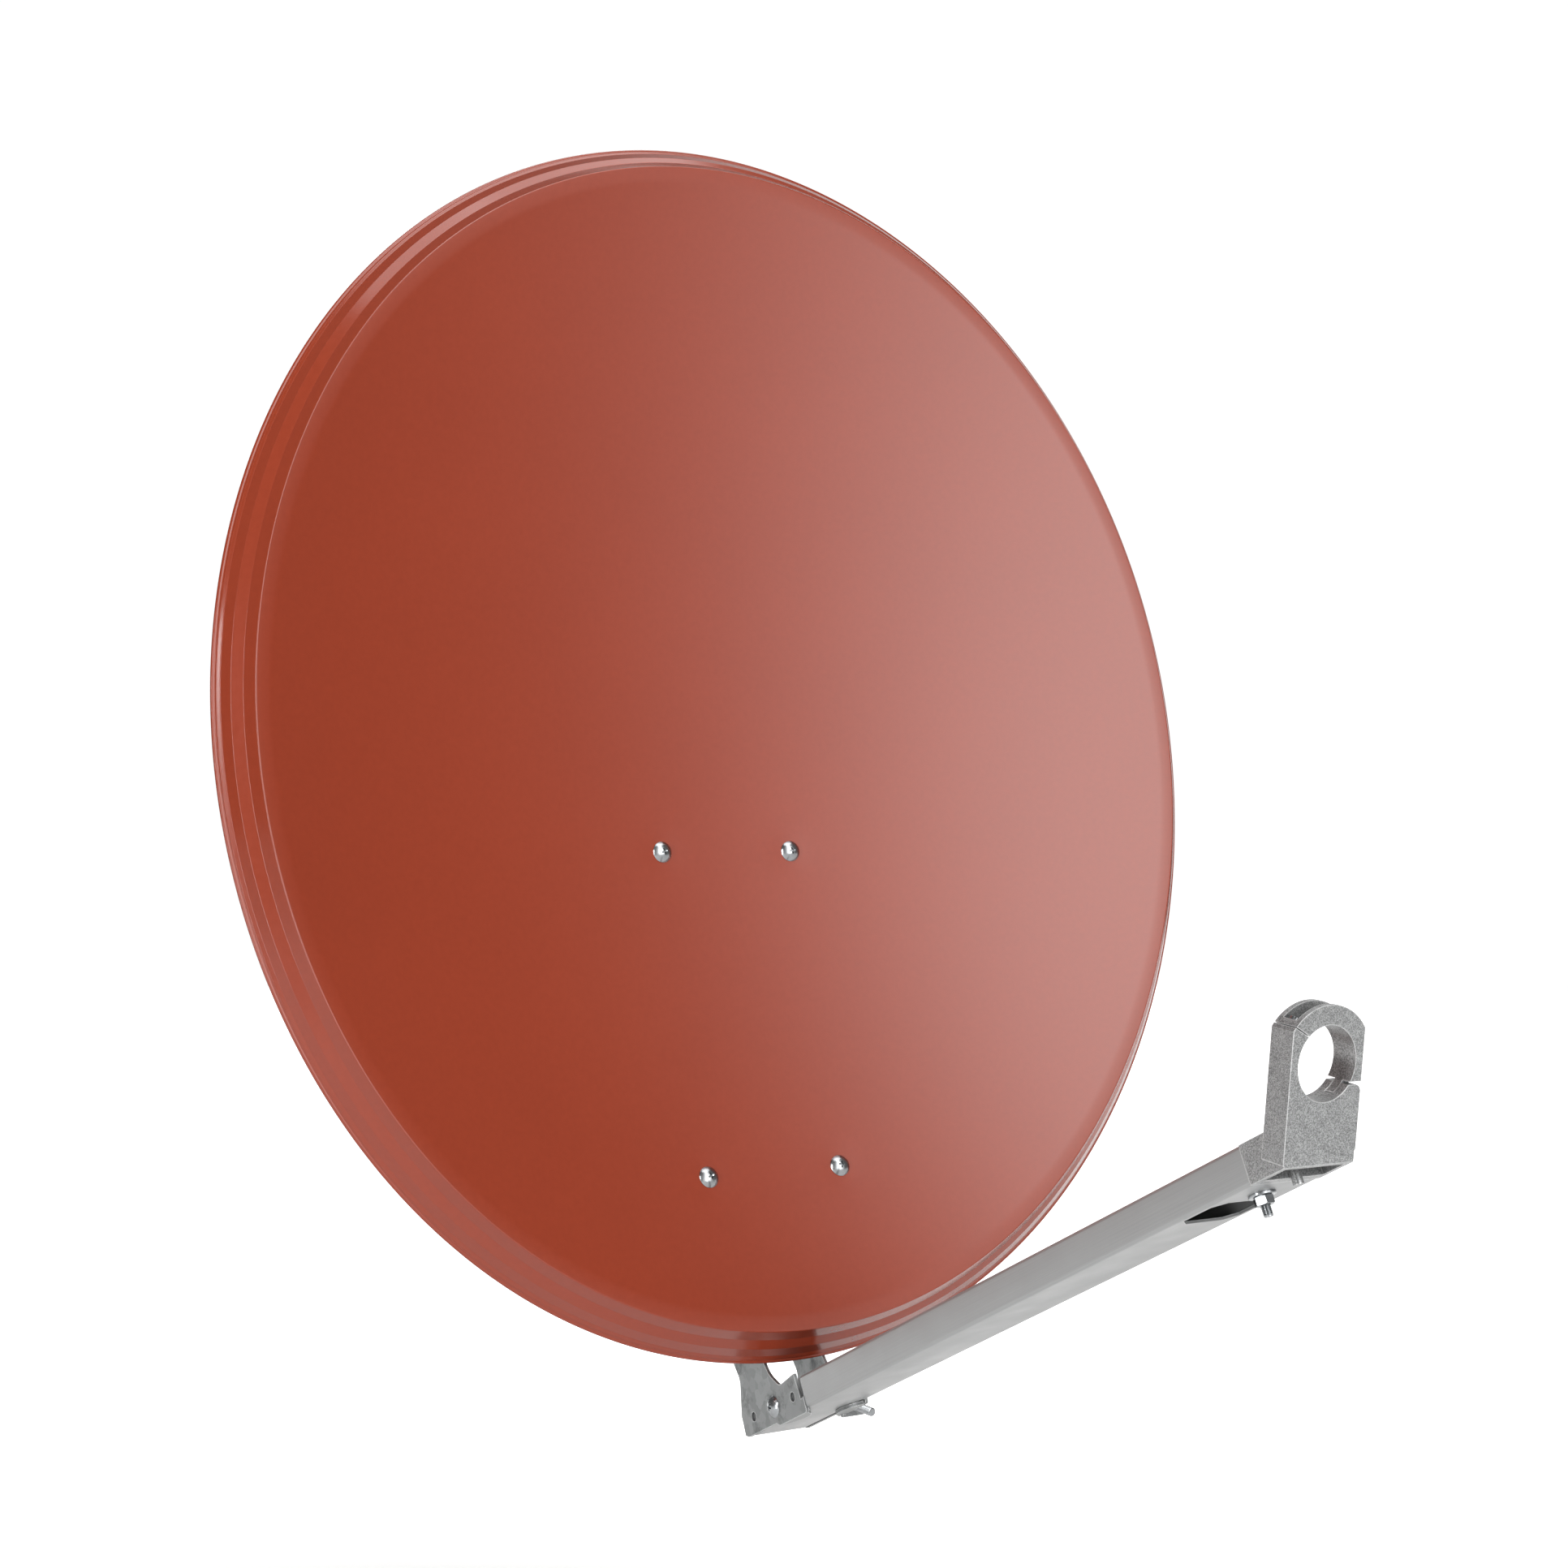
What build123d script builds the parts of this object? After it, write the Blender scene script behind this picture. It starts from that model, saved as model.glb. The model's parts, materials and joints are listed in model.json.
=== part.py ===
from build123d import *
import math
import os

# An offset satellite dish for a mast: a pressed steel reflector on two bent side rails,
# a feed arm that folds on the rails' lower ends, a split clamp for the feed at the arm's
# tip, and a tilting clamp that holds everything to an upright mast.
# Millimetres and degrees. +Z is up and the dish looks towards -Y.
# The origin is the centre of the mast clamp, on the mast's axis.

# ---------------------------------------------------------------- driving dimensions
# Reflector: part of a paraboloid, cut by a cylinder parallel to its axis.
FACE_HALF_WIDTH = 375.8
FOCAL_LENGTH = 450.0
OFFSET_ANGLE = 26.9
REST_TILT = 8.6
SHEET = 1.0
SHELL_LAP = 1.0

# Rim section: distance out from the face's edge, and depth behind the face's plane.
RIM_START = (-1.6, 0.57)
BEAD_CREST = (3.6, -1.0)
GROOVE_FLOOR = (6.8, 9.5)
STEP_CREST = (16.5, 12.6)
STEP_FOOT = (18.6, 20.6)
FLANGE_EDGE = (22.4, 21.5)
HEM_CENTRE = (22.9, 25.0)
RIM_BENDS = (2.4, 2.6, 3.2, 2.0, 1.6)
HEM_RADIUS = 1.7

# Bolts through the reflector's face, placed across and up the dish's plane.
BOLT_SPACING = 109.2
BOLT_ROW_TOP = -79.3
BOLT_ROW_LOW = -314.2
SEAT_RELIEF = 0.05

# Back rails
RAIL_SHEET = 2.5
RAIL_INNER = 22.7
FLANGE_MARGIN = 16.1
SEAT_GAP = 0.3
RAIL_END_MARGIN = 27.0
LEG_GAP = 10.0
LEG_WIDTH = 46.0
LEG_FLARE = 8.0
LEG_STEP = 4.0
LEG_RUN = 24.0
RIM_LAP = (14.0, 17.0)
EAR = 18.0
BRACE_HEIGHT = 44.0
BRACE_DEPTH = 30.0
SPACER_WALL = 3.0

# Hardware, by thread size
M4, M6, M8 = 4.0, 6.0, 8.0
HEX_ACROSS = {M6: 10.0, M8: 13.0}
NUT_HEIGHT = {M6: 5.0, M8: 6.8}
HEX_HEAD_HEIGHT = {M6: 4.0, M8: 5.3}
WASHER_OUTER = {M6: 15.6, M8: 16.0}
WASHER_HEIGHT = 1.6
HOLE_CLEARANCE = 0.2
RUNNING_CLEARANCE = 0.08
THREAD_TAIL = 4.0
HOLDER_BOLT_TAIL = 6.3
DOME_ACROSS = 15.6
DOME_HEIGHT = 3.6
CHEESE_ACROSS = 6.5
CHEESE_HEIGHT = 2.3

# Mast clamp
MAST_RADIUS = 25.0
CLAMP_SHEET = 4.0
CLAMP_HEIGHT = 110.0
SADDLE_ANGLE = 140.0
CLAMP_BOLT_OUT = 22.0
CLAMP_BOLT_Z = 34.0
WING_MARGIN = 15.0
WING_CORNER = 8.0
JAW_TRAVEL = 12.0
CHEEK_SHEET = 3.0
CHEEK_GAP = 0.3
CHEEK_MARGIN = 13.0
CHEEK_INSET = 6.0
PIVOT_TO_MAST = 92.0
PIVOT_HEIGHT = 37.0
LOCK_RADIUS = 75.0
TILT_RANGE = 18.0
SLOT_MARGIN = 9.0
PIVOT_UP = -110.0
PIVOT_BACK = 128.0

# Feed arm, in arm coordinates: s along the arm, h up from its underside.
# The cable's hole is measured back from the arm's front end.
ARM_RISE = 16.75
ARM_DROP = 34.15
ARM_FORWARD = 0.17
ARM_SWAGE = 1.8
ARM_HEIGHT = 22.0
ARM_WALL = 1.6
ARM_CORNER = 2.6
ARM_FRONT = 510.0
ARM_SHOULDER = 25.6
ARM_TAIL = -57.5
FIT_GAP = 0.3
ARM_PIVOT = (-16.6, 11.0)
LOCK_HOLES = (-45.8, 11.4)
LOCK_HOLE_RADIUS = 3.25
CABLE_HOLE = (-71.0, -33.0)
CABLE_HOLE_WIDTH = 40.0
CABLE_HOLE_CORNER = 7.0

# Bracket at the rails' lower ends, in arm coordinates.
BRACKET_TOP = 26.0
BRACKET_NOTCH = (-2.9, 22.3)
BRACKET_THROAT = (-14.0, 33.0)
BRACKET_BACK = (-53.9, 38.9)
BRACKET_HEEL = (-62.6, 15.1)
BRACKET_TOE = (-61.5, -0.4)
HEEL_REACH = 6.0
LIP_START = -13.0
LIP_END = 24.0
LIP_REACH = 9.5
LIP_ROOT = 4.0
STUD_LENGTH = 24.0
STUD_PLACE = (14.6, -7.8)
STUD_OUT = 8.0
STUD_EAR = 14.0

# Feed clamp, in its own coordinates: across, up its face, and back through it.
BORE_RADIUS = 20.25
BORE_FORWARD = 55.9
BORE_UP = 45.3
FACE_LEAN = 32.04
HOLDER_SIDE = 4.95
HOLDER_THICK = 16.5
HOLDER_BOTTOM = -52.2
HOLDER_CUT = 5.5
HOLDER_WALL = 3.4
FOOT_NOSE = 10.0
LID_CROWN = 10.65
LID_WEB = 7.0
SPLIT_RIGHT = -12.1
SPLIT_START = 134.0
SPLIT_SLOPE = 28.5
LID_GAP = 0.5
LID_FREE = 1.5
HORN_ROUND = 4.0
LUG_HEIGHT = 4.3
HOOK_WIDTH = 5.4
HOOK_DEPTH = 5.0
HOOK_SIDE = 3.2
JOINT_LAP = 2.0
TONGUE_LENGTH = 30.0
HOLDER_BOLT_BACK = 20.0
SCREW_LENGTH = 11.5
SCREW_IN = 5.96
PEG_RADIUS = 3.0
PEG_FORWARD = 9.0
PEG_DROP = 4.7
SLOT_WIDTH = 1.0
SLOT_DEPTH = 1.1

# ---------------------------------------------------------------- derived geometry
theta = math.radians(OFFSET_ANGLE)
tilt = math.radians(REST_TILT)
face_half_height = FACE_HALF_WIDTH / math.cos(theta)
axis_drop = 2 * FOCAL_LENGTH * math.tan(theta)
vertex_depth = (FACE_HALF_WIDTH**2 + axis_drop**2) / (4 * FOCAL_LENGTH)
rim_out = HEM_CENTRE[0] + HEM_RADIUS
rail_outer = RAIL_INNER + RAIL_SHEET
cheek_inner = rail_outer + CHEEK_GAP
cheek_outer = cheek_inner + CHEEK_SHEET
saddle_half = math.radians(SADDLE_ANGLE / 2)
wing_face = MAST_RADIUS * math.cos(saddle_half)
wing_back = wing_face + CLAMP_SHEET
clamp_bolt_x = MAST_RADIUS + CLAMP_BOLT_OUT
wing_reach = clamp_bolt_x + WING_MARGIN
flange_width = BOLT_SPACING / 2 + FLANGE_MARGIN - RAIL_INNER
arm_half = RAIL_INNER + ARM_SWAGE
holder_half = BORE_RADIUS + HOLDER_SIDE
rail_low = BOLT_ROW_LOW - RAIL_END_MARGIN
rail_top = BOLT_ROW_TOP + RAIL_END_MARGIN
tail_half = RAIL_INNER - FIT_GAP

# Frames. dish: x across, y up the face, z out of its front.
front = Vector(0, -math.cos(tilt), math.sin(tilt))
pivot = Vector(0, -PIVOT_TO_MAST, PIVOT_HEIGHT)
lock_point = pivot - Vector(0, 0, LOCK_RADIUS)
turn = Plane(origin=(0, 0, 0), x_dir=(1, 0, 0), z_dir=front)
dish_centre = pivot - turn.from_local_coords(Vector(0, PIVOT_UP, -PIVOT_BACK))
dish = Plane(origin=dish_centre, x_dir=(1, 0, 0), z_dir=front)


def dish_point(up, out, across=0.0):
    return dish.from_local_coords(Vector(across, up, out))


# bowl: the paraboloid's own frame, with its vertex at the origin.
axis_out = turn.from_local_coords(Vector(0, math.sin(theta), math.cos(theta)))
axis_up = turn.from_local_coords(Vector(0, math.cos(theta), -math.sin(theta)))
vertex = dish_centre - axis_up * axis_drop - axis_out * vertex_depth
bowl = Plane(origin=vertex, x_dir=(1, 0, 0), z_dir=axis_out)

# arm: x across, y up (h), z along the arm (s).
rise = math.radians(ARM_RISE)
arm_along = turn.from_local_coords(Vector(0, math.sin(rise), math.cos(rise)))
arm_base = dish_point(-(face_half_height + rim_out + ARM_DROP), ARM_FORWARD)
arm = Plane(origin=arm_base, x_dir=(1, 0, 0), z_dir=arm_along)


def arm_point(along, up, across=0.0):
    return arm.from_local_coords(Vector(across, up, along))


# feed: x across, y up the clamp's face, z forward along the feed's bore.
lean = math.radians(FACE_LEAN)
bore_centre = arm_point(ARM_FRONT + BORE_FORWARD, BORE_UP)
bore_out = arm_point(math.cos(lean), -math.sin(lean)) - arm_base
feed = Plane(origin=bore_centre, x_dir=(1, 0, 0), z_dir=bore_out)


# ---------------------------------------------------------------- helpers
def save(name, *solids):
    """Write one sub-part, a single solid or a group of separate ones."""
    shape = solids[0] if len(solids) == 1 else Compound(children=list(solids))
    shape.label = name
    export_step(shape, f"parts/{name}.step")


def at(origin, direction, shape, across=(1, 0, 0)):
    """The shape with its own +Z turned to direction and its origin moved to origin."""
    return Plane(origin=origin, x_dir=across, z_dir=direction).location * shape


def on_side(origin, side, shape):
    """The shape with its own +Z turned to +X or -X, as side is 1 or -1."""
    return at(origin, (side, 0, 0), shape, across=(0, 1, 0))


def rod(radius, length, start=0.0):
    """A round bar along +Z from start."""
    bar = Cylinder(radius, length, align=(Align.CENTER, Align.CENTER, Align.MIN))
    return Pos(0, 0, start) * bar


def hex_bar(across, length, start=0.0):
    return Pos(0, 0, start) * extrude(RegularPolygon(across / 2, 6, major_radius=False), length)


def shank(size, length):
    """A thread's outside, from z = 0 down, with a chamfered tip."""
    return chamfer(rod(size / 2, length, -length).edges().sort_by(Axis.Z)[0], size / 10)


def hex_bolt(size, length):
    return hex_bar(HEX_ACROSS[size], HEX_HEAD_HEIGHT[size]) + shank(size, length)


def dome_head():
    ball = (DOME_ACROSS**2 / 4 + DOME_HEIGHT**2) / (2 * DOME_HEIGHT)
    cap = Pos(0, 0, DOME_HEIGHT - ball) * Sphere(ball)
    return cap & rod(DOME_ACROSS, DOME_HEIGHT + 1)


def dome_bolt(size, length):
    return dome_head() + shank(size, length)


def washer(size):
    """A flat ring from z = 0 down."""
    ring = rod(WASHER_OUTER[size] / 2, WASHER_HEIGHT, -WASHER_HEIGHT)
    return ring - rod(size / 2 + HOLE_CLEARANCE, 3 * WASHER_HEIGHT, -2 * WASHER_HEIGHT)


def nut(size):
    """A plain hexagon nut from z = 0 down, bored to the thread's outside."""
    height = NUT_HEIGHT[size]
    bore = rod(size / 2 + RUNNING_CLEARANCE, 3 * height, -2 * height)
    return hex_bar(HEX_ACROSS[size], height, -height) - bore


def side_face(corners, x):
    """A face at x, parallel to YZ, from (point, corner radius) pairs."""
    outline = make_face(Polyline(*[(p.Y, p.Z) for p, radius in corners], close=True))
    for point, radius in corners:
        if radius:
            corner = outline.vertices().sort_by_distance((point.Y, point.Z, 0))[0]
            outline = fillet(corner, radius)
    wall = Plane(origin=(x, 0, 0), x_dir=(0, 1, 0), z_dir=(1, 0, 0))
    return wall.location * outline


def cross_hole(point, radius, reach=90.0):
    """A drill along X through the whole assembly."""
    return on_side(Vector(-reach, point.Y, point.Z), 1, rod(radius, 2 * reach))


# ---------------------------------------------------------------- reflector
def bowl_height(radius):
    return radius**2 / (4 * FOCAL_LENGTH)


def bowl_layer(upper, lower):
    """A full turn of the paraboloid between two depths behind its reflecting face."""
    inner = (axis_drop - FACE_HALF_WIDTH) / 2
    outer = axis_drop + 1.2 * FACE_HALF_WIDTH
    middle = (inner + outer) / 2
    tangent = inner * outer / (4 * FOCAL_LENGTH)

    def arc(depth):
        return Bezier(
            (inner, 0, bowl_height(inner) - depth),
            (middle, 0, tangent - depth),
            (outer, 0, bowl_height(outer) - depth),
        )

    top, low = arc(upper), arc(lower)
    section = make_face([top, Line(top @ 1, low @ 1), low, Line(low @ 0, top @ 0)])
    return bowl.location * revolve(section, Axis.Z)


def rim_section():
    """The pressed rim as a strip of sheet: tight bead, groove, step, flange, rolled hem."""
    corners = [BEAD_CREST, GROOVE_FLOOR, STEP_CREST, STEP_FOOT, FLANGE_EDGE]
    path = FilletPolyline(RIM_START, *corners, HEM_CENTRE, radius=RIM_BENDS)
    strip = make_face(offset(path, SHEET, side=Side.LEFT, closed=True).edges())
    return strip + Pos(*HEM_CENTRE) * Circle(HEM_RADIUS)


def face_surface_point(across, up):
    """The point of the reflecting face straight behind a place on the dish's plane."""
    shallow, deep = 50.0, -2 * vertex_depth
    for _ in range(60):
        middle = (shallow + deep) / 2
        local = bowl.to_local_coords(dish_point(up, middle, across))
        if local.Z > bowl_height(math.hypot(local.X, local.Y)):
            shallow = middle
        else:
            deep = middle
    return dish_point(up, shallow, across)


def face_normal(point):
    local = bowl.to_local_coords(point)
    slope = Vector(-local.X, -local.Y, 2 * FOCAL_LENGTH)
    return (bowl.from_local_coords(slope) - vertex).normalized()


bolt_seats = [
    face_surface_point(across, up)
    for up in (BOLT_ROW_TOP, BOLT_ROW_LOW)
    for across in (-BOLT_SPACING / 2, BOLT_SPACING / 2)
]


def face_bolt_holes():
    drill = rod(M6 / 2 + HOLE_CLEARANCE, 60, -30)
    return [at(seat, face_normal(seat), drill) for seat in bolt_seats]


def make_reflector():
    cutter = Pos(0, axis_drop, -400) * rod(FACE_HALF_WIDTH + SHELL_LAP, 1600)
    shell = bowl_layer(0, SHEET) & bowl.location * cutter
    path = Edge.make_ellipse(FACE_HALF_WIDTH, face_half_height, plane=dish)
    start = Plane(origin=path @ 0, x_dir=(path @ 0) - dish_centre, z_dir=path % 0)
    rim = sweep(start.location * rim_section(), path=path)
    return (shell + rim) - face_bolt_holes()


# ---------------------------------------------------------------- back rails
def rail_web():
    """A rail's flat web: seat, ears for the pivot and the lock, leg and arm bracket."""
    lock = dish.to_local_coords(lock_point)
    rim_low = -(face_half_height + rim_out)
    leg_front = -(HEM_CENTRE[1] + HEM_RADIUS + LEG_GAP)
    leg_back = leg_front - LEG_WIDTH
    underside = -FIT_GAP - RAIL_SHEET
    nose = ARM_SHOULDER - FIT_GAP
    corners = [
        (dish_point(rail_top, 0), 0),
        (dish_point(rail_top, -PIVOT_BACK - EAR), EAR),
        (dish_point(lock.Y - EAR, lock.Z - EAR), EAR),
        (dish_point(rail_low, leg_back - LEG_FLARE), 30),
        (dish_point(rim_low + RIM_LAP[1], leg_back), 20),
        (arm_point(*BRACKET_BACK), 12),
        (arm_point(*BRACKET_HEEL), 3),
        (arm_point(*BRACKET_TOE), 4),
        (arm_point(LIP_START - LIP_ROOT, BRACKET_TOE[1]), 1),
        (arm_point(LIP_START, underside), 1),
        (arm_point(nose, underside), 2),
        (arm_point(nose, BRACKET_TOP), 1.2),
        (arm_point(*BRACKET_NOTCH), 6),
        (arm_point(*BRACKET_THROAT), 20),
        (dish_point(rim_low + RIM_LAP[0], leg_front), 12),
        (dish_point(rail_low - LEG_RUN, leg_front - LEG_STEP), 12),
        (dish_point(rail_low, 0), 0),
    ]
    return extrude(side_face(corners, RAIL_INNER), RAIL_SHEET)


def seat_flange():
    """The flange that follows the reflector's back."""
    depth = SHEET + SEAT_GAP
    block = Box(flange_width, rail_top - rail_low, 400, align=(Align.MIN, Align.MIN, Align.CENTER))
    strip = dish.location * (Pos(RAIL_INNER, rail_low, 0) * block)
    return bowl_layer(depth, depth + RAIL_SHEET) & strip


def arm_lip():
    """A crescent turned in under the arm, which rests on it when it is down."""
    middle = (LIP_START + LIP_END) / 2
    bulge = ThreePointArc(
        (rail_outer, LIP_START), (rail_outer - RAIL_SHEET - LIP_REACH, middle), (rail_outer, LIP_END)
    )
    crescent = make_face([bulge, Line(bulge @ 1, bulge @ 0)])
    under = Plane(origin=arm_point(0, -FIT_GAP), x_dir=(1, 0, 0), z_dir=-arm.y_dir)
    return under.location * extrude(crescent, RAIL_SHEET)


def heel_flange():
    """The short flange that stiffens the bracket's rear edge."""
    corner = (Align.MAX, Align.MIN, Align.MIN)
    box = Box(RAIL_SHEET + HEEL_REACH, BRACKET_HEEL[1] - 3, RAIL_SHEET, align=corner)
    return arm.location * (Pos(rail_outer, 1, BRACKET_HEEL[0] + 0.2) * box)


def make_rail():
    """The rail at +X. The other one is its mirror image."""
    rail = rail_web() - bowl_layer(-400, SHEET + SEAT_GAP)
    rail = rail + seat_flange() + arm_lip() + heel_flange()
    rail -= face_bolt_holes()
    rail -= cross_hole(pivot, M8 / 2 + RUNNING_CLEARANCE)
    rail -= cross_hole(lock_point, M8 / 2 + HOLE_CLEARANCE)
    rail -= cross_hole(arm_point(*ARM_PIVOT), M8 / 2 + HOLE_CLEARANCE)
    for along in LOCK_HOLES:
        rail -= cross_hole(arm_point(along, ARM_PIVOT[1]), LOCK_HOLE_RADIUS)
    return rail


# The earthing stud is pressed into an ear outside the right rail and points level ahead.
level_front = Vector(0, -1, 0)
stud_tip = arm_point(*STUD_PLACE, across=rail_outer + STUD_OUT)
stud_root = stud_tip - level_front * STUD_LENGTH


def stud_ear():
    reach = STUD_OUT + STUD_EAR / 2
    corner = (Align.MIN, Align.CENTER, Align.MIN)
    ear = Pos(-RAIL_SHEET, 0, 0) * Box(reach + RAIL_SHEET, STUD_EAR, RAIL_SHEET, align=corner)
    seat = Vector(rail_outer, stud_root.Y, stud_root.Z)
    hole = at(stud_root, level_front, rod(M6 / 2, 4 * RAIL_SHEET, -2 * RAIL_SHEET))
    return at(seat, level_front, ear) - hole


def make_stud():
    return at(stud_tip, level_front, Rot(0, 180, 0) * Pos(0, 0, STUD_LENGTH) * shank(M6, STUD_LENGTH))


def make_brace():
    """A channel between the rails at the lock bolts: a web with two tabs turned back."""
    half = RAIL_INNER
    lock = dish.to_local_coords(lock_point)
    web = Box(2 * half, BRACE_HEIGHT, RAIL_SHEET, align=(Align.CENTER, Align.CENTER, Align.MAX))
    tab = Box(RAIL_SHEET, BRACE_HEIGHT, BRACE_DEPTH, align=(Align.MAX, Align.CENTER, Align.MAX))
    right = Pos(half, 0, 0) * tab
    channel = web + right + mirror(right, Plane.YZ)
    channel = dish.location * (Pos(0, lock.Y, lock.Z + BRACE_DEPTH / 2) * channel)
    return channel - cross_hole(lock_point, M8 / 2 + HOLE_CLEARANCE)


def make_face_bolts():
    """The four bolts through the face with their washers and nuts behind the rails."""
    bolts, washers, nuts = [], [], []
    depth = SHEET + SEAT_GAP + RAIL_SHEET
    for seat in bolt_seats:
        normal = face_normal(seat)
        rail_back = seat - normal * (depth * normal.dot(axis_out) + SEAT_RELIEF)
        nut_seat = rail_back - normal * WASHER_HEIGHT
        length = (seat - nut_seat).length + NUT_HEIGHT[M6] + THREAD_TAIL
        bolts.append(at(seat + normal * SEAT_RELIEF, normal, dome_bolt(M6, length)))
        washers.append(at(rail_back, normal, washer(M6)))
        nuts.append(at(nut_seat, normal, nut(M6)))
    return bolts, washers, nuts


# ---------------------------------------------------------------- mast clamp
clamp_places = [
    (x, z) for x in (-clamp_bolt_x, clamp_bolt_x) for z in (-CLAMP_BOLT_Z, CLAMP_BOLT_Z)
]


def saddle_plate():
    """A plate with a round saddle between two flat wings, its hollow facing +Y."""
    edge = MAST_RADIUS * math.sin(saddle_half)
    arc = ThreePointArc((-edge, -wing_face), (0, -MAST_RADIUS), (edge, -wing_face))
    left = Line((-wing_reach, -wing_face), arc @ 0)
    right = Line(arc @ 1, (wing_reach, -wing_face))
    outline = offset(Wire([left, arc, right]), CLAMP_SHEET, side=Side.RIGHT, closed=True)
    plate = extrude(make_face(outline.edges()), CLAMP_HEIGHT / 2, both=True)
    ends = plate.edges().filter_by(Axis.Y).group_by(SortBy.LENGTH)[0]
    plate = fillet([e for e in ends if abs(e.center().X) > wing_reach - 1], WING_CORNER)
    for x, z in clamp_places:
        plate -= at((x, 0, z), (0, -1, 0), rod(M8 / 2 + HOLE_CLEARANCE, 80, -40))
    return plate


def cheek():
    """One side plate of the tilt bracket, which holds the pivot and the lock bolt."""
    saddle_depth = math.sqrt(max(MAST_RADIUS**2 - cheek_inner**2, wing_face**2))
    root = -(saddle_depth + CLAMP_SHEET / 2)
    tall = CLAMP_HEIGHT / 2 - CHEEK_INSET
    reach = LOCK_RADIUS + CHEEK_MARGIN
    edge = math.radians(TILT_RANGE + SLOT_MARGIN)
    y, z = pivot.Y, pivot.Z
    sector = ThreePointArc(
        (y + reach * math.sin(edge), z - reach * math.cos(edge)),
        (y, z - reach),
        (y - reach * math.sin(edge), z - reach * math.cos(edge)),
    )
    shoulder = EAR * math.sqrt(0.5)
    crown = ThreePointArc((y - EAR, z), (y, z + EAR), (y + shoulder, z + shoulder))
    outline = make_face([
        Line((root, tall), (root, -tall)),
        Line((root, -tall), sector @ 0),
        sector,
        Line(sector @ 1, crown @ 0),
        crown,
        Line(crown @ 1, (root, tall)),
    ])
    wall = Plane(origin=(cheek_inner, 0, 0), x_dir=(0, 1, 0), z_dir=(1, 0, 0))
    return wall.location * extrude(outline, CHEEK_SHEET)


def lock_slot():
    """The slot's ring sector, round-ended, through both cheeks."""
    half_width = M8 / 2 + HOLE_CLEARANCE
    swing = math.radians(TILT_RANGE)
    ring = Circle(LOCK_RADIUS + half_width) - Circle(LOCK_RADIUS - half_width)
    wedge = make_face(Polyline(
        (0, 0),
        (2 * LOCK_RADIUS * math.sin(swing), -2 * LOCK_RADIUS * math.cos(swing)),
        (-2 * LOCK_RADIUS * math.sin(swing), -2 * LOCK_RADIUS * math.cos(swing)),
        close=True,
    ))
    slot = ring & wedge
    for side in (-1, 1):
        end = Pos(side * LOCK_RADIUS * math.sin(swing), -LOCK_RADIUS * math.cos(swing))
        slot += end * Circle(half_width)
    reach = 2 * cheek_outer
    wall = Plane(origin=(-reach, pivot.Y, pivot.Z), x_dir=(0, 1, 0), z_dir=(1, 0, 0))
    return wall.location * extrude(slot, 2 * reach)


def make_tilt_bracket():
    right = cheek()
    bracket = saddle_plate() + right + mirror(right, Plane.YZ)
    bracket -= cross_hole(pivot, M8 / 2 + RUNNING_CLEARANCE)
    return bracket - lock_slot()


def make_mast_jaw():
    return Rot(0, 0, 180) * saddle_plate()


def make_clamp_hardware():
    """Four bolts from the front wings, with washers and nuts behind the jaw."""
    length = 2 * wing_back + WASHER_HEIGHT + NUT_HEIGHT[M8] + JAW_TRAVEL + THREAD_TAIL
    ahead = (0, -1, 0)
    nut_seat = wing_back + WASHER_HEIGHT
    bolts = [at((x, -wing_back, z), ahead, hex_bolt(M8, length)) for x, z in clamp_places]
    washers = [at((x, wing_back, z), ahead, washer(M8)) for x, z in clamp_places]
    nuts = [at((x, nut_seat, z), ahead, nut(M8)) for x, z in clamp_places]
    return bolts, washers, nuts


def make_pivot_hardware():
    """One long bolt through both cheeks and rails, with a spacer tube between the rails."""
    outside = cheek_outer + WASHER_HEIGHT
    length = 2 * outside + NUT_HEIGHT[M8] + THREAD_TAIL
    bolt = on_side(pivot - Vector(outside, 0, 0), -1, hex_bolt(M8, length))
    washers = [on_side(pivot + Vector(s * outside, 0, 0), s, washer(M8)) for s in (-1, 1)]
    ring = on_side(pivot + Vector(outside + NUT_HEIGHT[M8], 0, 0), 1, nut(M8))
    bore = M8 / 2 + RUNNING_CLEARANCE
    tube = rod(bore + SPACER_WALL, 2 * RAIL_INNER) - rod(bore, 2 * RAIL_INNER)
    spacer = on_side(pivot - Vector(RAIL_INNER, 0, 0), 1, tube)
    return bolt, washers, ring, spacer


def make_lock_hardware():
    """A bolt each side from inside the brace through rail and slot to a washer and nut."""
    inside = RAIL_INNER - RAIL_SHEET
    outside = cheek_outer + WASHER_HEIGHT
    length = outside + NUT_HEIGHT[M8] + THREAD_TAIL - inside
    bolts, washers, nuts = [], [], []
    for side in (-1, 1):
        head = lock_point + Vector(side * inside, 0, 0)
        bolts.append(on_side(head, -side, dome_bolt(M8, length)))
        washers.append(on_side(lock_point + Vector(side * outside, 0, 0), side, washer(M8)))
        nut_end = side * (outside + NUT_HEIGHT[M8])
        nuts.append(on_side(lock_point + Vector(nut_end, 0, 0), side, nut(M8)))
    return bolts, washers, nuts


# ---------------------------------------------------------------- feed arm
def arm_bar(half_width, inset, start, end):
    """A round-cornered bar of the arm's section, inset from its outside all round."""
    width = 2 * (half_width - inset)
    height = ARM_HEIGHT - 2 * inset
    section = RectangleRounded(width, height, ARM_CORNER - inset)
    return arm.location * (Pos(0, ARM_HEIGHT / 2, start) * extrude(section, end - start))


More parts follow.
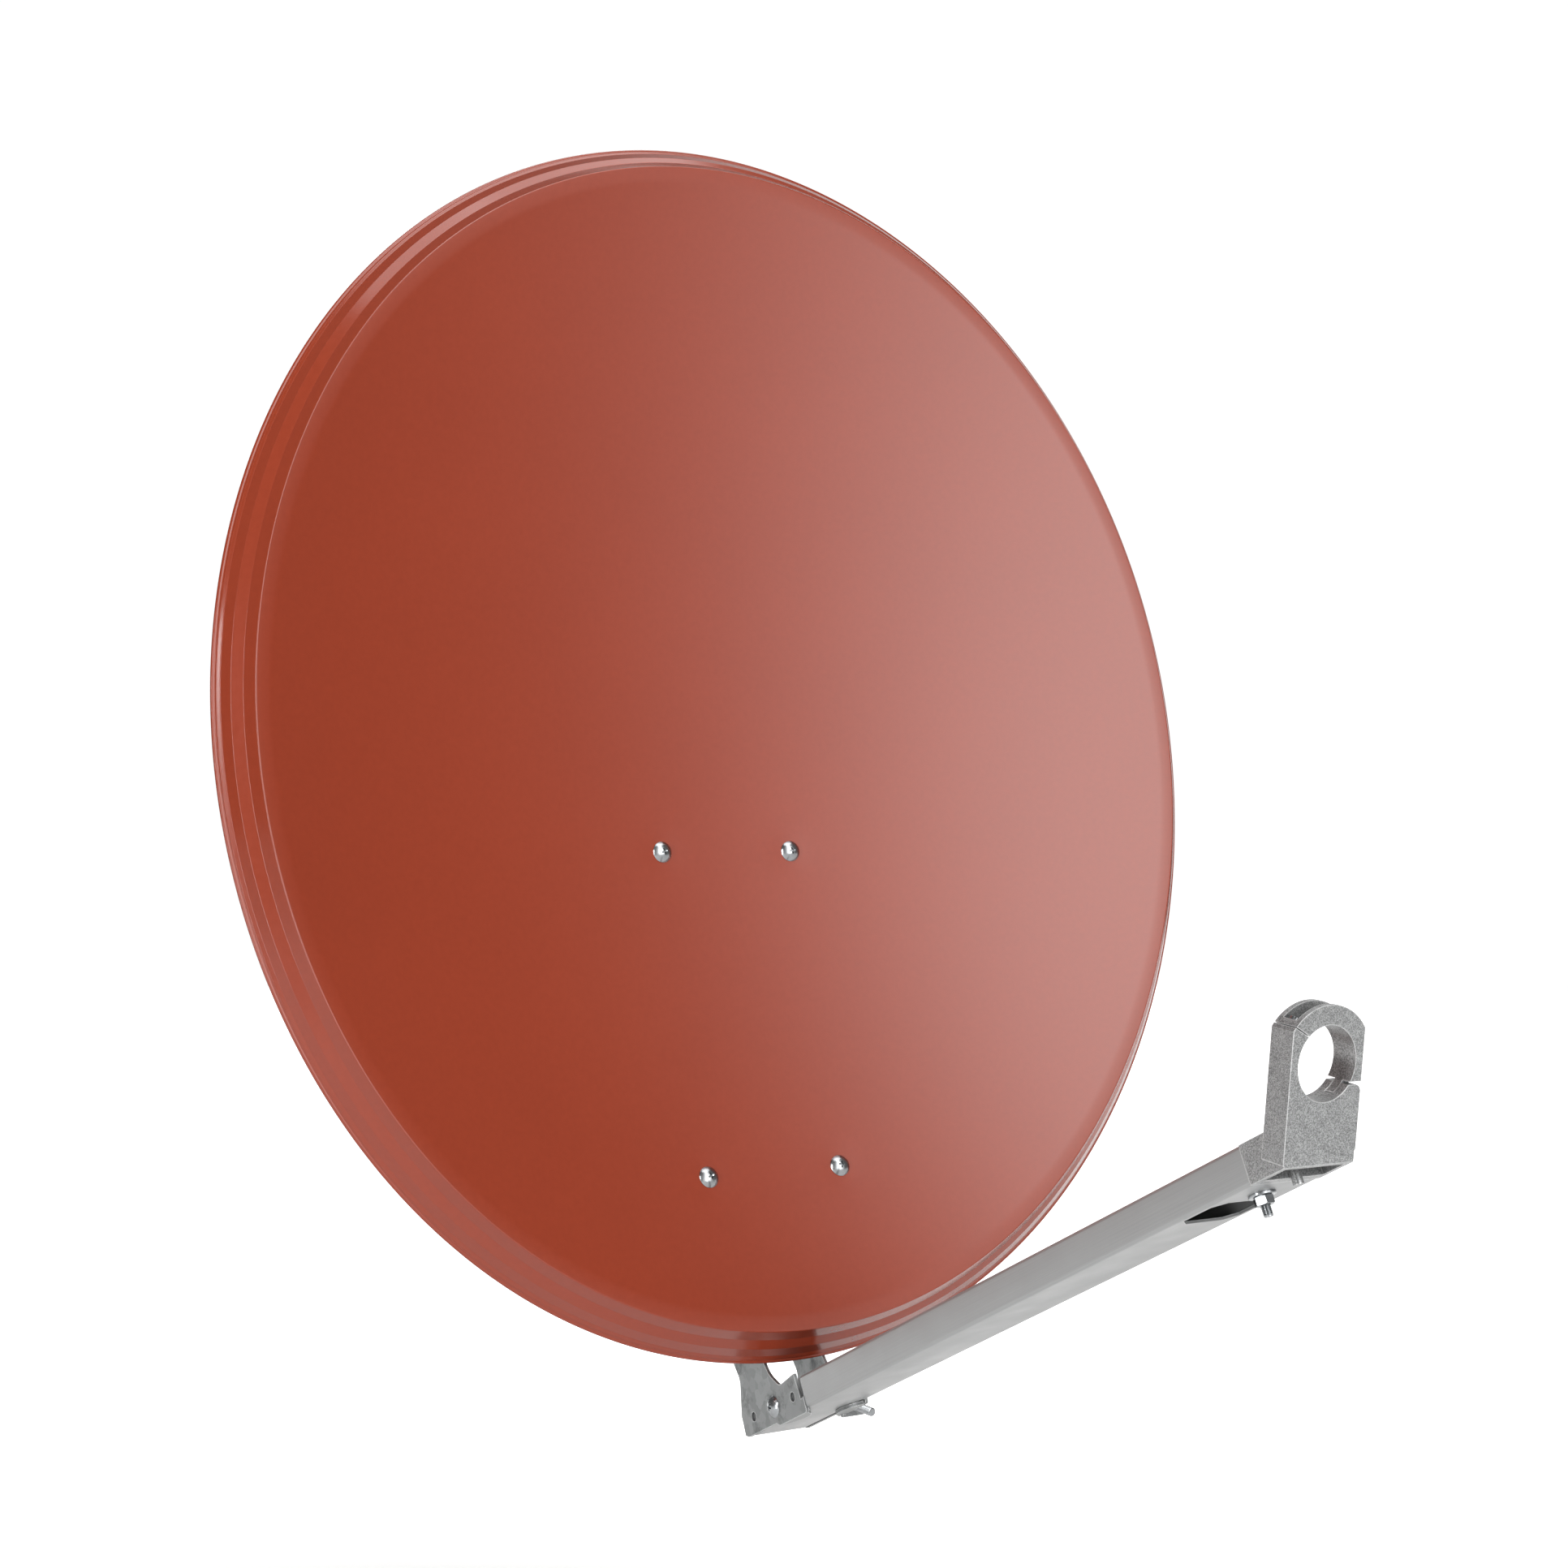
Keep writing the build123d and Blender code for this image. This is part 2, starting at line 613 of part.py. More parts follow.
def make_arm():
    """A rectangular tube with a swaged tail that sits between the rails."""
    step = ARM_SHOULDER + ARM_WALL
    tube = arm_bar(arm_half, 0, ARM_SHOULDER, ARM_FRONT) + arm_bar(tail_half, 0, ARM_TAIL, step)
    tube -= arm_bar(arm_half, ARM_WALL, step, ARM_FRONT)
    tube -= arm_bar(tail_half, ARM_WALL, ARM_TAIL, step)
    middle = ARM_FRONT + sum(CABLE_HOLE) / 2
    hole = chamfer(
        Rectangle(CABLE_HOLE_WIDTH, CABLE_HOLE[1] - CABLE_HOLE[0]).vertices(), CABLE_HOLE_CORNER
    )
    under = Plane(origin=arm_point(middle, -1), x_dir=(1, 0, 0), z_dir=arm.y_dir)
    tube -= under.location * extrude(hole, 2 * ARM_WALL)
    tube -= holder_bolt_hole()
    return tube - cross_hole(arm_point(*ARM_PIVOT), M8 / 2 + RUNNING_CLEARANCE)


def holder_bolt_hole():
    place = arm_point(ARM_FRONT - HOLDER_BOLT_BACK, 0)
    return at(place, arm.y_dir, rod(M6 / 2 + HOLE_CLEARANCE, 4 * ARM_HEIGHT, -2 * ARM_HEIGHT))


def make_arm_pivot_hardware():
    centre = arm_point(*ARM_PIVOT)
    outside = rail_outer + WASHER_HEIGHT
    length = rail_outer + outside + NUT_HEIGHT[M8] + THREAD_TAIL
    bolt = on_side(centre - Vector(rail_outer, 0, 0), -1, dome_bolt(M8, length))
    ring = on_side(centre + Vector(outside, 0, 0), 1, washer(M8))
    nut_end = outside + NUT_HEIGHT[M8]
    return bolt, ring, on_side(centre + Vector(nut_end, 0, 0), 1, nut(M8))


# ---------------------------------------------------------------- feed clamp
# The split starts at the bore's upper left and climbs to the left side, square to the screw.
split_start = math.radians(SPLIT_START)
split_slope = math.radians(SPLIT_SLOPE)
split_corner = Vector(BORE_RADIUS * math.cos(split_start), BORE_RADIUS * math.sin(split_start), 0)
split_along = Vector(-math.cos(split_slope), math.sin(split_slope), 0)
split_up = Vector(math.sin(split_slope), math.cos(split_slope), 0)


def split_point(along, above):
    """A place by its distance along the left split from the bore, and above the split."""
    spot = split_corner + split_along * along + split_up * above
    return (spot.X, spot.Y)


screw_axis = (feed.from_local_coords(split_up) - bore_centre).normalized()
screw_x, screw_y = split_point(SCREW_IN, LUG_HEIGHT)
screw_seat = feed.from_local_coords(Vector(screw_x, screw_y, -HOLDER_THICK / 2))


def clamp_blank():
    """The whole clamp through its thickness before it is split: a slab with a round crown."""
    slab = make_face(Polyline(
        (-holder_half, HOLDER_BOTTOM),
        (holder_half - HOLDER_CUT, HOLDER_BOTTOM),
        (holder_half, HOLDER_BOTTOM + HOLDER_CUT),
        (holder_half, 0),
        (-holder_half, 0),
        close=True,
    ))
    crown = Rectangle(2 * holder_half, 4 * holder_half) & Circle(BORE_RADIUS + LID_CROWN)
    upper = Pos(0, 2 * holder_half) * Rectangle(4 * holder_half, 4 * holder_half)
    outline = slab + (crown & upper)
    return feed.location * (Pos(0, 0, -HOLDER_THICK) * extrude(outline, HOLDER_THICK))


def lid_region(left_gap, right_gap):
    """Everything above the split, raised by a gap at its left and its right."""
    far = 3 * holder_half
    outline = make_face(Polyline(
        (far, SPLIT_RIGHT + right_gap),
        (BORE_RADIUS / 4, SPLIT_RIGHT + right_gap),
        (-BORE_RADIUS / 4, BORE_RADIUS / 2 + left_gap),
        split_point(0, left_gap),
        split_point(far, left_gap),
        (-far, 2 * far),
        (far, 2 * far),
        close=True,
    ))
    return feed.location * (Pos(0, 0, -2 * HOLDER_THICK) * extrude(outline, 3 * HOLDER_THICK))


def bore_cut():
    return feed.location * rod(BORE_RADIUS, 4 * HOLDER_THICK, -2 * HOLDER_THICK)


def hook(gap, past=0.0):
    """The lid's hook beside the bore, or with a gap the slot that it drops into."""
    top = SPLIT_RIGHT + LID_FREE + JOINT_LAP
    low = SPLIT_RIGHT - HOOK_DEPTH - gap
    left, right = BORE_RADIUS / 2, holder_half - HOOK_SIDE + past
    tab = Box(right - left, top - low, HOOK_WIDTH + 2 * gap)
    return feed.location * (Pos((left + right) / 2, (top + low) / 2, -HOLDER_THICK / 2) * tab)


def channel_area():
    """The area between the lid's flanges that is open, above the lug and outside the web."""
    far = 3 * holder_half
    left = make_face(Polyline(
        split_point(far, LUG_HEIGHT), split_point(-far, LUG_HEIGHT), (far, far), (-far, 2 * far), close=True
    ))
    right = Pos(far / 2, far / 2 + SPLIT_RIGHT + LID_WEB) * Rectangle(far, far)
    left_half = Pos(-far, 0) * Rectangle(2 * far, 6 * far)
    return (left & left_half) + right - Circle(BORE_RADIUS + HOLDER_WALL)


def make_lid():
    """The clamp's upper half: two flanges, a web round the bore, a lug and a hook."""
    lid = (clamp_blank() & lid_region(LID_GAP, LID_FREE)) + hook(0) - bore_cut()
    channel = extrude(channel_area(), HOLDER_THICK - 2 * HOLDER_WALL)
    lid -= feed.location * (Pos(0, 0, -HOLDER_THICK + HOLDER_WALL) * channel)
    screw_hole = rod(M4 / 2 + HOLE_CLEARANCE, 3 * SCREW_LENGTH, -1.5 * SCREW_LENGTH)
    return lid - at(screw_seat, screw_axis, screw_hole)


def make_lid_screw():
    head = rod(CHEESE_ACROSS / 2, CHEESE_HEIGHT)
    slot = Pos(0, 0, CHEESE_HEIGHT) * Box(SLOT_WIDTH, 2 * CHEESE_ACROSS, 2 * SLOT_DEPTH)
    return at(screw_seat, screw_axis, head - slot + shank(M4, SCREW_LENGTH))


def face_along(height):
    """How far along the arm the clamp's front face stands at a height above the underside."""
    return ARM_FRONT + BORE_FORWARD - (BORE_UP - height) * math.tan(lean)


def make_holder():
    """The clamp's lower half with its hollow foot, tongue, and the peg below it."""
    back = face_along(0) - HOLDER_THICK / math.cos(lean)
    foot_side = [
        (arm_point(ARM_FRONT, 0), 0),
        (arm_point(face_along(0), 0), 0),
        (arm_point(face_along(FOOT_NOSE), FOOT_NOSE), 0),
        (arm_point(back + ARM_HEIGHT * math.tan(lean), ARM_HEIGHT), 0),
        (arm_point(ARM_FRONT, ARM_HEIGHT), 0),
    ]
    body = clamp_blank() - lid_region(0, 0)
    horn = feed.from_local_coords(Vector(holder_half, SPLIT_RIGHT, -HOLDER_THICK / 2))
    body = fillet(body.edges().sort_by_distance(horn)[0], HORN_ROUND)
    body += extrude(side_face(foot_side, -arm_half), 2 * arm_half)
    tongue_half = arm_half - ARM_WALL - FIT_GAP
    tongue_height = ARM_HEIGHT - 2 * (ARM_WALL + FIT_GAP)
    tongue = Box(2 * tongue_half, tongue_height, TONGUE_LENGTH + 2 * JOINT_LAP)
    tongue_at = Pos(0, ARM_HEIGHT / 2, ARM_FRONT - TONGUE_LENGTH / 2 + JOINT_LAP)
    body += arm.location * (tongue_at * tongue)
    room = 2 * (min(holder_half, arm_half) - HOLDER_WALL)
    foot_room = Box(room, 2 * ARM_HEIGHT, face_along(0) - ARM_FRONT - 3 * HOLDER_WALL)
    room_middle = (ARM_FRONT + HOLDER_WALL + face_along(0)) / 2
    body -= arm.location * (Pos(0, -HOLDER_WALL, room_middle) * foot_room)
    below = (Align.CENTER, Align.MAX, Align.MAX)
    slab_room = Box(room, 2 * ARM_HEIGHT, HOLDER_THICK - 2 * HOLDER_WALL, align=below)
    body -= feed.location * (Pos(0, -BORE_RADIUS - 2 * HOLDER_WALL, -HOLDER_WALL) * slab_room)
    peg_foot = arm_point(ARM_FRONT + PEG_FORWARD, -PEG_DROP)
    body += at(peg_foot, arm.y_dir, rod(PEG_RADIUS, ARM_HEIGHT + PEG_DROP - HOLDER_WALL / 2))
    body = body - bore_cut() - hook(FIT_GAP, past=HOOK_SIDE + 1)
    screw_hole = rod(M4 / 2 + RUNNING_CLEARANCE, 2 * SCREW_LENGTH, -SCREW_LENGTH)
    return body - at(screw_seat, screw_axis, screw_hole) - holder_bolt_hole()


def make_holder_hardware():
    """The bolt that fixes the clamp's tongue in the arm, dropped in from above."""
    place = ARM_FRONT - HOLDER_BOLT_BACK
    length = ARM_HEIGHT + WASHER_HEIGHT + NUT_HEIGHT[M6] + HOLDER_BOLT_TAIL
    bolt = at(arm_point(place, ARM_HEIGHT), arm.y_dir, dome_bolt(M6, length))
    ring = at(arm_point(place, 0), arm.y_dir, washer(M6))
    return bolt, ring, at(arm_point(place, -WASHER_HEIGHT), arm.y_dir, nut(M6))


# ---------------------------------------------------------------- the sub-parts
os.makedirs("parts", exist_ok=True)

save("reflector", make_reflector())
right_rail = make_rail()
save("left_rail", mirror(right_rail, Plane.YZ))
save("right_rail", right_rail + stud_ear())
save("rail_brace", make_brace())
for group, solids in zip(("face_bolts", "face_washers", "face_nuts"), make_face_bolts()):
    save(group, *solids)
save("earth_stud", make_stud())

save("tilt_bracket", make_tilt_bracket())
save("mast_jaw", make_mast_jaw())
for group, solids in zip(("clamp_bolts", "clamp_washers", "clamp_nuts"), make_clamp_hardware()):
    save(group, *solids)
pivot_bolt, pivot_washers, pivot_nut, pivot_spacer = make_pivot_hardware()
save("pivot_bolt", pivot_bolt)
save("pivot_washers", *pivot_washers)
save("pivot_nut", pivot_nut)
save("pivot_spacer", pivot_spacer)
for group, solids in zip(("lock_bolts", "lock_washers", "lock_nuts"), make_lock_hardware()):
    save(group, *solids)

save("feed_arm", make_arm())
for name, solid in zip(("arm_bolt", "arm_washer", "arm_nut"), make_arm_pivot_hardware()):
    save(name, solid)
save("feed_holder", make_holder())
save("feed_lid", make_lid())
save("lid_screw", make_lid_screw())
for name, solid in zip(("holder_bolt", "holder_washer", "holder_nut"), make_holder_hardware()):
    save(name, solid)
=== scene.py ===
# %% [markdown]
# # A satellite dish for a mast
# An offset dish is a piece of a paraboloid, pressed from one steel sheet and powder coated.
# Two bent rails carry it on a tilting mast clamp, and a folding arm holds the feed in front of it.
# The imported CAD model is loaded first. It fixes every place and size, and nothing below moves it.
# The pieces made here are finer skins of the same parts, with the finish of each real surface.

# %% Load the frame
import json
import math

import bmesh
import bpy
import numpy as np
from mathutils import Matrix, Vector


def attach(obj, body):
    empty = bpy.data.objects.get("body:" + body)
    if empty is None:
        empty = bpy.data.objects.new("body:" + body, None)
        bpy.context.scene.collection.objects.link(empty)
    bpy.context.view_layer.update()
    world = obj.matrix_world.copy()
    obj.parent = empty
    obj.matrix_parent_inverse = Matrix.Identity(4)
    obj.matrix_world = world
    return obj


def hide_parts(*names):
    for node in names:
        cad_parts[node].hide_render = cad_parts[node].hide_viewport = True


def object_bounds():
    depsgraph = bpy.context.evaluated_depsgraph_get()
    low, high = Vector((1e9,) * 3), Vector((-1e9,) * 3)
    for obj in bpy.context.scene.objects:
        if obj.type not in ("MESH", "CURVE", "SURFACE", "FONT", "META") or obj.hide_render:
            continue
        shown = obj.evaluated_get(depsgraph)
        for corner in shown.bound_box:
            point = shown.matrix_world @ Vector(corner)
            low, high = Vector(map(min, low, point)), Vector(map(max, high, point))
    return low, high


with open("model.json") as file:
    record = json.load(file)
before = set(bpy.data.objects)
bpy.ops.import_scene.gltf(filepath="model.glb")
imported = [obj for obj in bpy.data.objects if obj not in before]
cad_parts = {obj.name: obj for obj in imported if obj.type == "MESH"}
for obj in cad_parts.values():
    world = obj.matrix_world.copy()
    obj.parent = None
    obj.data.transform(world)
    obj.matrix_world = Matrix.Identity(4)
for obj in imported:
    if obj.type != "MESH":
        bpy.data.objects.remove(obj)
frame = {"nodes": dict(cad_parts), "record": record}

cad_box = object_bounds()
record = frame["record"]
body_of = {node: body for body, nodes in record["behaviour"]["bodies"].items() for node in nodes}
joint = {each["name"]: each for each in record["behaviour"]["joints"]}
print("CAD box in metres:", [tuple(round(c, 4) for c in corner) for corner in cad_box])

# %% [markdown]
# ## Places and frames
# The dish hangs on the bracket's pivot, so its own frame is worked out from that joint: the
# face's plane leans back a little from upright, and its centre lies above and in front of the
# pivot. The arm rises from the dish's axis by a fixed angle.

# %% Frames of the dish, the arm and the feed clamp
MM = 0.001
REST_TILT = math.radians(8.6)
PIVOT_BELOW_CENTRE = 0.110
PIVOT_BEHIND_CENTRE = 0.128
ARM_RISE = math.radians(16.75)

across = Vector((1, 0, 0))
face_out = Vector((0, -math.cos(REST_TILT), math.sin(REST_TILT)))
face_up = Vector((0, math.sin(REST_TILT), math.cos(REST_TILT)))
pivot = Vector(joint["elevation"]["pos_m"])
dish_centre = pivot + face_up * PIVOT_BELOW_CENTRE + face_out * PIVOT_BEHIND_CENTRE
arm_along = face_out * math.cos(ARM_RISE) + face_up * math.sin(ARM_RISE)
print("centre of the dish:", tuple(round(c, 4) for c in dish_centre))
print("arm slopes up by", round(math.degrees(math.asin(arm_along.z)), 2), "degrees")

# %% [markdown]
# ## Camera
# The eye stands in front of the dish, to its left and level with its middle. A longer lens
# from a short way off keeps the round rim from looking squashed.

# %% Camera
EYE_FROM_CENTRE = Vector((-0.88154, -1.46838, -0.06635))
EYE_TURN = (math.radians(90.907), 0.0, math.radians(-31.419))
LENS = 54.6

camera_data = bpy.data.cameras.new("camera")
camera_data.lens = LENS
camera = bpy.data.objects.new("camera", camera_data)
camera.location = dish_centre + EYE_FROM_CENTRE
camera.rotation_euler = EYE_TURN
bpy.context.scene.collection.objects.link(camera)
bpy.context.scene.camera = camera
bpy.context.scene.view_settings.view_transform = "Standard"
print("camera stands", round(EYE_FROM_CENTRE.length, 3), "m from the dish's centre")

# %% [markdown]
# ## Small helpers
# One function turns a hex colour into linear light, one adds a shader node with its settings
# and links, and the rest turn rings of points into meshes. A ring mesh is how most round
# parts are made in a workshop too: one profile, turned about an axis.

# %% Helpers for colours, nodes and meshes
WELD = 1e-6


def linear(code):
    """The linear colour of an sRGB hex code."""
    values = [int(code[i:i + 2], 16) / 255 for i in (1, 3, 5)]
    return [c / 12.92 if c <= 0.04045 else ((c + 0.055) / 1.055) ** 2.4 for c in values] + [1.0]


def add(tree, kind, inputs=None, **settings):
    """A new node; an input is given a value, or the socket that feeds it."""
    node = tree.nodes.new(kind)
    for name, value in settings.items():
        setattr(node, name, value)
    for name, value in (inputs or {}).items():
        if isinstance(value, bpy.types.NodeSocket):
            tree.links.new(value, node.inputs[name])
        else:
            node.inputs[name].default_value = value
    return node


def maths(tree, operation, *values):
    """The result of a math node on values or sockets."""
    node = add(tree, "ShaderNodeMath", dict(enumerate(values)), operation=operation)
    return node.outputs["Value"]


def remap(tree, value, start, end, low=0.0, high=1.0, **settings):
    """A value's range from start to end, stretched to run from low to high."""
    return add(tree, "ShaderNodeMapRange", {
        "Value": value, "From Min": start, "From Max": end, "To Min": low, "To Max": high,
    }, **settings).outputs["Result"]


def blend(tree, factor, first, second):
    """The mix of two colours, each a hex code or a socket."""
    ends = [linear(end) if isinstance(end, str) else end for end in (first, second)]
    return add(tree, "ShaderNodeMix", {
        "Factor": factor, "A": ends[0], "B": ends[1],
    }, data_type="RGBA").outputs["Result"]


def start_material(name):
    """A material with its node tree and the shader in it."""
    material = bpy.data.materials.new(name)
    material.use_nodes = True
    return material, material.node_tree, material.node_tree.nodes["Principled BSDF"]


def mesh_of(name, points, faces):
    """A mesh from points and faces, with doubled points joined and its faces turned outwards."""
    bm = bmesh.new()
    verts = [bm.verts.new(p) for p in points]
    for face in faces:
        bm.faces.new([verts[i] for i in face])
    bmesh.ops.remove_doubles(bm, verts=bm.verts, dist=WELD)
    bmesh.ops.dissolve_degenerate(bm, dist=WELD / 10, edges=bm.edges)
    bmesh.ops.recalc_face_normals(bm, faces=bm.faces)
    mesh = bpy.data.meshes.new(name)
    bm.to_mesh(mesh)
    bm.free()
    return mesh


def ring_faces(rows, columns, lift=0):
    """Quads round a stack of rings; with a lift, each turn climbs that many rows at its seam."""
    def index(row, column):
        return (row + lift * (column // columns)) * columns + column % columns

    return [
        (index(r, c), index(r, c + 1), index(r + 1, c + 1), index(r + 1, c))
        for r in range(rows - 1 - lift)
        for c in range(columns)
    ]


def turned(profile, columns=48):
    """Points and faces of a closed round body from (radius, height) pairs."""
    turn = np.linspace(0, 2 * math.pi, columns, endpoint=False)
    points = [(r * math.cos(a), r * math.sin(a), z) for r, z in profile for a in turn]
    return points, ring_faces(len(profile), columns)


def joined(*parts):
    """Several (points, faces) pairs as one."""
    points, faces = [], []
    for more, polygons in parts:
        faces += [[len(points) + i for i in polygon] for polygon in polygons]
        points += list(more)
    return points, faces


def placed(shape, matrix):
    points, faces = shape
    return [matrix @ Vector(p) for p in points], faces


def applied(mesh, *modifiers):
    """The mesh with modifiers applied, each given as (type, settings)."""
    carrier = bpy.data.objects.new("carrier", mesh)
    bpy.context.scene.collection.objects.link(carrier)
    for kind, settings in modifiers:
        modifier = carrier.modifiers.new(kind, kind)
        for name, value in settings.items():
            setattr(modifier, name, value)
    graph = bpy.context.evaluated_depsgraph_get()
    result = bpy.data.meshes.new_from_object(carrier.evaluated_get(graph))
    bpy.data.objects.remove(carrier)
    bpy.data.meshes.remove(mesh)
    return result


def piece(name, mesh, material, node, sharp=30):
    """A finished piece: smooth shaded, riding on the body of the CAD node that it replaces."""
    mesh.name = name
    mesh.materials.clear()
    mesh.materials.append(material)
    mesh.shade_smooth()
    if sharp:
        mesh.set_sharp_from_angle(angle=math.radians(sharp))
    obj = bpy.data.objects.new(name, mesh)
    bpy.context.scene.collection.objects.link(obj)
    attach(obj, body_of[node])
    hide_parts(node)
    print(f"{name}: {len(mesh.polygons)} faces, rides on {body_of[node]}")
    return obj


# %% [markdown]
# ## Powder coat
# The reflector is dusted with polyester powder and baked, which leaves a semi-gloss skin with a
# very fine orange peel. Its pigment is even, so the colour only drifts slightly. The skin is a
# dielectric with an index near 1.5, so it returns a few per cent of the light in front of it.

# %% Brick-red powder coat
PEEL_SIZE = 1.6 * MM
GRAIN_SIZE = 4 * MM
DRIFT_SIZE = 120 * MM


def powder_coat():
    """Semi-gloss brick-red polyester powder coat, baked on pressed steel."""
    material, tree, shader = start_material("brick_red_powder_coat")
    place = add(tree, "ShaderNodeTexCoord").outputs["Object"]
    drift = add(tree, "ShaderNodeTexNoise", {
        "Vector": place, "Scale": 1 / DRIFT_SIZE, "Detail": 3.0,
    }).outputs["Fac"]
    grain = add(tree, "ShaderNodeTexNoise", {
        "Vector": place, "Scale": 1 / GRAIN_SIZE, "Detail": 4.0,
    }).outputs["Fac"]
    colour = add(tree, "ShaderNodeVectorMath", {
        0: blend(tree, drift, "#752b17", "#7b2e19"),
        "Scale": remap(tree, grain, 0.3, 0.7, 0.97, 1.03),
    }, operation="SCALE")
    tree.links.new(colour.outputs["Vector"], shader.inputs["Base Color"])
    tree.links.new(remap(tree, grain, 0.3, 0.7, 0.15, 0.19), shader.inputs["Roughness"])
    peel = add(tree, "ShaderNodeTexNoise", {"Vector": place, "Scale": 1 / PEEL_SIZE, "Detail": 2.0})
    bump = add(tree, "ShaderNodeBump", {
        "Height": peel.outputs["Fac"], "Strength": 0.35, "Distance": 0.03 * MM,
    })
    tree.links.new(bump.outputs["Normal"], shader.inputs["Normal"])
    shader.inputs["IOR"].default_value = 1.5
    return material


paint = powder_coat()
print("material:", paint.name)

# %% [markdown]
# ## Galvanised sheet
# The rails and clamps are cut and bent from zinc-dipped sheet. The zinc freezes in flakes a
# few millimetres across, each with its own grey, and handling leaves dull scuffs on it. Where
# the sheet is cut or bent sharply the metal is brighter, which a thin band along each edge shows.

# %% Galvanised steel
FLAKE_SIZE = 7 * MM
SCUFF_SIZE = 18 * MM
EDGE_BAND = 0.9 * MM


def edge_mask(tree, width):
    """Near 1 within a width of any edge, where the rounded normal leaves the true one."""
    rounded = add(tree, "ShaderNodeBevel", {"Radius": width}, samples=4)
    true = add(tree, "ShaderNodeNewGeometry")
    match = add(tree, "ShaderNodeVectorMath", {
        0: rounded.outputs["Normal"], 1: true.outputs["Normal"],
    }, operation="DOT_PRODUCT")
    return remap(tree, match.outputs["Value"], 0.995, 0.90)


def galvanised_steel():
    """Hot-dip galvanised sheet, scuffed by handling, with bright cut edges."""
    material, tree, shader = start_material("galvanised_steel")
    place = add(tree, "ShaderNodeTexCoord").outputs["Object"]
    warp = add(tree, "ShaderNodeTexNoise", {"Vector": place, "Scale": 1 / (5 * MM), "Detail": 3.0})
    bent = add(tree, "ShaderNodeVectorMath", {
        0: warp.outputs["Color"], 1: (0.003, 0.003, 0.003), 2: place,
    }, operation="MULTIPLY_ADD")
    flakes = add(tree, "ShaderNodeTexVoronoi", {
        "Vector": bent.outputs["Vector"], "Scale": 1 / FLAKE_SIZE,
    })
    flake = add(tree, "ShaderNodeSeparateColor", {"Color": flakes.outputs["Color"]}).outputs["Red"]
    scuffs = add(tree, "ShaderNodeTexNoise", {
        "Vector": place, "Scale": 1 / SCUFF_SIZE, "Detail": 8.0, "Roughness": 0.7,
    }).outputs["Fac"]
    dull = remap(tree, scuffs, 0.52, 0.66)
    worn = blend(tree, dull, blend(tree, flake, "#747676", "#8e9090"), "#606262")
    bright = blend(tree, edge_mask(tree, EDGE_BAND), worn, "#dcdddd")
    tree.links.new(bright, shader.inputs["Base Color"])
    rough = maths(tree, "MULTIPLY_ADD", dull, 0.12, remap(tree, flake, 0, 1, 0.34, 0.46))
    tree.links.new(rough, shader.inputs["Roughness"])
    bump = add(tree, "ShaderNodeBump", {
        "Height": maths(tree, "ADD", scuffs, warp.outputs["Fac"]),
        "Strength": 0.5, "Distance": 0.06 * MM,
    })
    tree.links.new(bump.outputs["Normal"], shader.inputs["Normal"])
    shader.inputs["Metallic"].default_value = 0.8
    return material


galvanised = galvanised_steel()
print("material:", galvanised.name)

# %% [markdown]
# ## Drawn tube
# The arm is a welded tube pulled through a die, then zinc plated. The die leaves fine lines
# that run the whole length of the arm, so the pattern is stretched along it, and it shines in
# long streaks rather than in spots.

# %% Zinc-plated drawn tube
LINE_WIDTH = 0.5 * MM
LINE_LENGTH = 160 * MM


def drawn_tube():
    """Zinc-plated steel tube with fine lengthwise die lines."""
    material, tree, shader = start_material("zinc_plated_drawn_tube")
    place = add(tree, "ShaderNodeTexCoord").outputs["Object"]
    level = add(tree, "ShaderNodeMapping", {
        "Vector": place, "Rotation": (math.asin(arm_along.z), 0, 0),
    })
    stretched = add(tree, "ShaderNodeVectorMath", {
        0: level.outputs["Vector"], 1: (1 / LINE_WIDTH, 1 / LINE_LENGTH, 1 / LINE_WIDTH),
    }, operation="MULTIPLY")
    lines = add(tree, "ShaderNodeTexNoise", {
        "Vector": stretched.outputs["Vector"], "Scale": 1.0, "Detail": 5.0, "Roughness": 0.65,
    }).outputs["Fac"]
    cloud = add(tree, "ShaderNodeTexNoise", {
        "Vector": place, "Scale": 1 / (25 * MM), "Detail": 5.0,
    }).outputs["Fac"]
    grey = blend(tree, lines, "#888989", "#a4a5a5")
    bright = blend(tree, edge_mask(tree, EDGE_BAND), grey, "#cfd0d0")
    tree.links.new(bright, shader.inputs["Base Color"])
    rough = remap(tree, maths(tree, "ADD", lines, cloud), 0.7, 1.3, 0.30, 0.46)
    tree.links.new(rough, shader.inputs["Roughness"])
    bump = add(tree, "ShaderNodeBump", {"Height": lines, "Strength": 0.5, "Distance": 0.03 * MM})
    tree.links.new(bump.outputs["Normal"], shader.inputs["Normal"])
    shader.inputs["Metallic"].default_value = 0.6
    shader.inputs["Anisotropic"].default_value = 0.3
    return material


tube_steel = drawn_tube()
print("material:", tube_steel.name)

# %% [markdown]
# ## Cast metal
# The feed clamp is a zinc die casting. Shot blasting cleans it and leaves thousands of tiny
# dents, each a fraction of a millimetre, so it glitters in speckles. The edges are bright
# where the casting was trimmed.

# %% Shot-blasted die casting
SHOT_SIZE = 0.5 * MM


